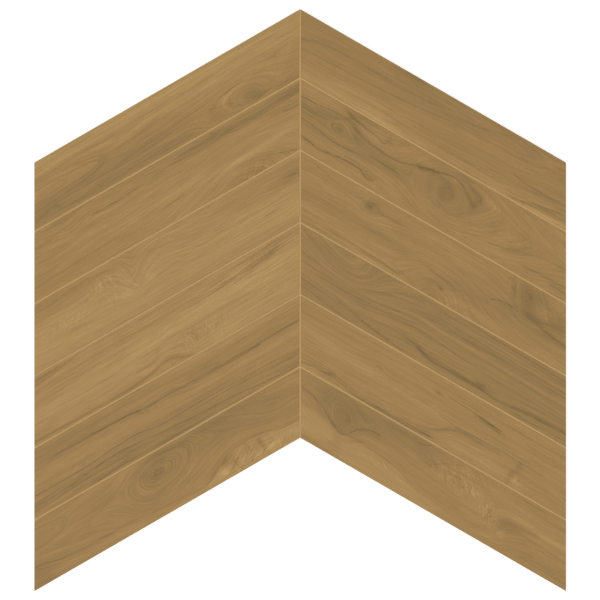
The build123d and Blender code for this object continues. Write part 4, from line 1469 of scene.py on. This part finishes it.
def printed_glaze():
    """The satin glaze over the printed wood, made from the figure's layers. Widths and lengths are in
    millimetres, and strengths in steps of brightness."""
    make = Maker("printed_wood_glaze")
    tone, grain, along = (make.layer(name) for name in ("tone", "grain", "along"))
    rings, vein_gap, vein_ink = (make.layer(name) for name in ("rings", "vein_gap", "vein_ink"))
    ripple, curl, clarity = (make.layer(name) for name in ("ripple", "curl", "clarity"))

    def streaks(width, length, depth, detail):
        """Noise drawn out along the grain. It is taken at a depth of its own, so that no two are alike."""
        return make.noise(grain / width, along / length, depth, detail)

    # The grain and the ripples waver, and everything after follows them
    grain = grain + make.noise(along / 60, grain / 14, 8.3, 2.0) * 2.4
    curl = curl + make.noise(along / 11, grain / 5, 2.2, 2.0) * 7
    broad = streaks(11, 190, 3.1, 3.0)
    lines = streaks(2.7, 130, 7.7, 2.0)
    fine = streaks(1.25, 110, 1.3, 2.0)
    hair = streaks(0.6, 30, 5.9, 1.0)
    speckle = streaks(0.8, 0.9, 11.9, 1.0)
    mottle = streaks(9, 26, 5.2, 3.0)
    strand = streaks(1.7, 80, 4.7, 1.0)
    growth = streaks(2.0, 160, 9.4, 1.0)

    off_core = vein_gap * vein_gap
    core = math.e ** (off_core * -3.2)
    beside = math.e ** (off_core * -0.09)
    figure = broad * 14 + lines * 12 + fine * 18 + hair * 24 + mottle * 5 + growth * rings * 22 + speckle * 24
    figure = (figure + strand * beside * vein_ink * 1.3) * (1 + clarity - ripple * 0.03).clamp(0.15, 3.0)

    breaks = streaks(2.0, 12, 4.4, 2.0).rise(-0.22, 0.1)
    waves = make.noise(curl / 3.2, grain / 14, 2.8, 2.0)
    crackle = 1 - make.noise(curl / 4, grain / 6, 6.1, 2.0).maths("ABSOLUTE").rise(0.0, 0.07)
    pores = streaks(0.55, 7, 6.6, 0.0).rise(0.2, 0.36)
    veins = core * vein_ink
    brightness = tone + figure + (waves * 2.5 + crackle * 0.7) * ripple
    brightness = brightness - veins * (0.8 + 0.7 * breaks) - pores * 5

    lowest, highest = PRINT_INKS[0][0], PRINT_INKS[-1][0]
    stops = [((step - lowest) / (highest - lowest), pigment(*ink)) for step, ink in PRINT_INKS]
    place = (brightness - lowest) / (highest - lowest)
    colour = make.ramp(stops, place)

    relief = lines * 0.4 + fine * 0.5 - pores * 0.6 - veins * 0.02
    normal = make.bump(0.12, 0.2 * MM, relief)
    satin = (0.56 + lines * 0.1 + pores * 0.1).clamp(0.4, 0.8)
    return make.finish(base_color=colour, roughness=satin, specular_ior_level=0.35, normal=normal)


def joint_glaze():
    """The matt tan glaze in the joints."""
    make = Maker("joint_glaze")
    place = make.node("ShaderNodeTexCoord", out=3)
    grit = make.spots(place, 900.0, 3.0)
    cloud = make.spots(place, 25.0, 2.0)
    tan = pigment(*JOINT_TAN)
    stops = [(0.0, tuple(0.9 * c for c in tan)), (1.0, tuple(1.1 * c for c in tan))]
    colour = make.ramp(stops, 0.5 + grit * 0.8 + cloud * 0.5)
    normal = make.bump(0.25, 0.1 * MM, grit)
    return make.finish(base_color=colour, roughness=0.72, specular_ior_level=0.35, normal=normal)


def cut_body():
    """The fired body, as the rectifying wheels leave it. The glaze shows as a line under the face."""
    make = Maker("porcelain_body")
    place = make.node("ShaderNodeTexCoord", out=3)
    height = make.node("ShaderNodeSeparateXYZ", {}, {0: place}, out=2)
    speckle = make.spots(place, 1400.0, 2.0)
    cloud = make.spots(place, 60.0, 3.0)
    grains = make.node("ShaderNodeTexVoronoi", {}, {"Vector": place, "Scale": 700.0}).rise(0.0, 0.22)
    body = (0.50, 0.40, 0.29)
    glaze_edge = (0.60, 0.47, 0.31, 1)
    stops = [(0.0, tuple(0.78 * c for c in body)), (0.5, body), (1.0, (0.62, 0.53, 0.41))]
    clay = make.ramp(stops, 0.5 + speckle * 0.7 + cloud * 0.5 - (1 - grains) * 0.2)
    soft = 0.06
    under_face = height.rise((thickness - glaze_line - soft) * MM, (thickness - glaze_line + soft) * MM)
    colour = make.mix(under_face, clay, glaze_edge)
    normal = make.bump(0.3, 0.1 * MM, speckle)
    return make.finish(base_color=colour, roughness=0.8, normal=normal)


def keyed_back():
    """The back, with the pale wash of the kiln's rollers on the ribs."""
    make = Maker("porcelain_back")
    place = make.node("ShaderNodeTexCoord", out=3)
    height = make.node("ShaderNodeSeparateXYZ", {}, {0: place}, out=2)
    speckle = make.spots(place, 900.0, 3.0)
    cloud = make.spots(place, 22.0, 4.0)
    body = (0.47, 0.38, 0.28)
    kiln_wash = (0.74, 0.71, 0.66, 1)
    stops = [(0.0, tuple(0.75 * c for c in body)), (0.5, body), (1.0, (0.58, 0.49, 0.38))]
    clay = make.ramp(stops, 0.5 + speckle * 0.6 + cloud * 0.9)
    on_rib = 1 - height.rise(0.02 * MM, 0.2 * MM)
    wash = on_rib * (cloud + speckle * 0.5).rise(-0.12, 0.12) * 0.65
    colour = make.mix(wash, clay, kiln_wash)
    normal = make.bump(0.4, 0.2 * MM, speckle + cloud)
    return make.finish(base_color=colour, roughness=0.88, normal=normal)


def make_tile():
    """The finished tile, which stands for the plain solid."""
    mesh = build_tile()
    write_figure(mesh)
    lay_out_map(mesh)
    for material in (printed_glaze(), joint_glaze(), cut_body(), keyed_back()):
        mesh.materials.append(material)
    tile = bpy.data.objects.new("chevron_tile_glazed", mesh)
    bpy.context.scene.collection.objects.link(tile)
    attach(tile, "root")
    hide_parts("chevron_tile")


# The studio


def make_floor():
    """A wide floor just under the tile, open inside the tile's rim, so that the back can be looked at too."""
    size = 12.0  # in metres, from the middle to each side
    inset = 5.0
    side = half_width - inset
    drop = side * slope
    top = point_y - inset * across_to_along
    bottom = point_y - side_length + inset * across_to_along
    left = [(0, top), (-side, top - drop), (-side, bottom - drop)]
    right = [(0, bottom), (side, bottom - drop), (side, top - drop)]
    outer = [(0, size), (-size, size), (-size, -size), (0, -size), (size, -size), (size, size)]
    under = -0.02 * MM
    points = [(x * MM, y * MM, under) for x, y in left + right] + [(x, y, under) for x, y in outer]
    mesh = bpy.data.meshes.new("studio_floor")
    mesh.from_pydata(points, [], [(n, n + 6, (n + 1) % 6 + 6, (n + 1) % 6) for n in range(6)])
    make = Maker("pale_floor")
    mesh.materials.append(
        make.finish(
            base_color=(0.9, 0.9, 0.9, 1),
            roughness=0.9,
            emission_color=(1, 1, 1, 1),
            emission_strength=0.34,
        )
    )
    floor = bpy.data.objects.new("studio_floor", mesh)
    bpy.context.scene.collection.objects.link(floor)


def light_studio():
    """Even white light from all round, and a broad soft lamp above that shades the joints."""
    world = bpy.data.worlds.new("studio")
    bpy.context.scene.world = world
    world.use_nodes = True
    background = world.node_tree.nodes["Background"]
    background.inputs["Color"].default_value = (1, 1, 1, 1)
    background.inputs["Strength"].default_value = 0.72
    lamp = bpy.data.lights.new("soft_key", "SUN")
    lamp.energy = 0.66
    lamp.angle = math.radians(60)
    key = bpy.data.objects.new("soft_key", lamp)
    key.rotation_euler = (math.radians(14), math.radians(-16), 0)
    bpy.context.scene.collection.objects.link(key)


def set_camera():
    """Straight above the tile. The photograph's frame is 600 pixels wide and high."""
    frame_pixels = 600
    tile_width_pixels = 531.85
    offset_right, offset_down = 0.17, 0.14  # from the frame's middle to the tile's, in pixels
    pixel = 2 * half_width / tile_width_pixels * MM
    data = bpy.data.cameras.new("camera")
    data.type = "PERSP"
    data.sensor_width = 36.0
    data.lens = 100.0
    distance = frame_pixels * pixel * data.lens / data.sensor_width
    data.clip_end = 50.0
    camera = bpy.data.objects.new("camera", data)
    camera.location = (-offset_right * pixel, offset_down * pixel, thickness * MM + distance)
    bpy.context.scene.collection.objects.link(camera)
    bpy.context.scene.camera = camera


make_tile()
make_floor()
light_studio()
set_camera()
bpy.context.scene.view_settings.view_transform = "Standard"
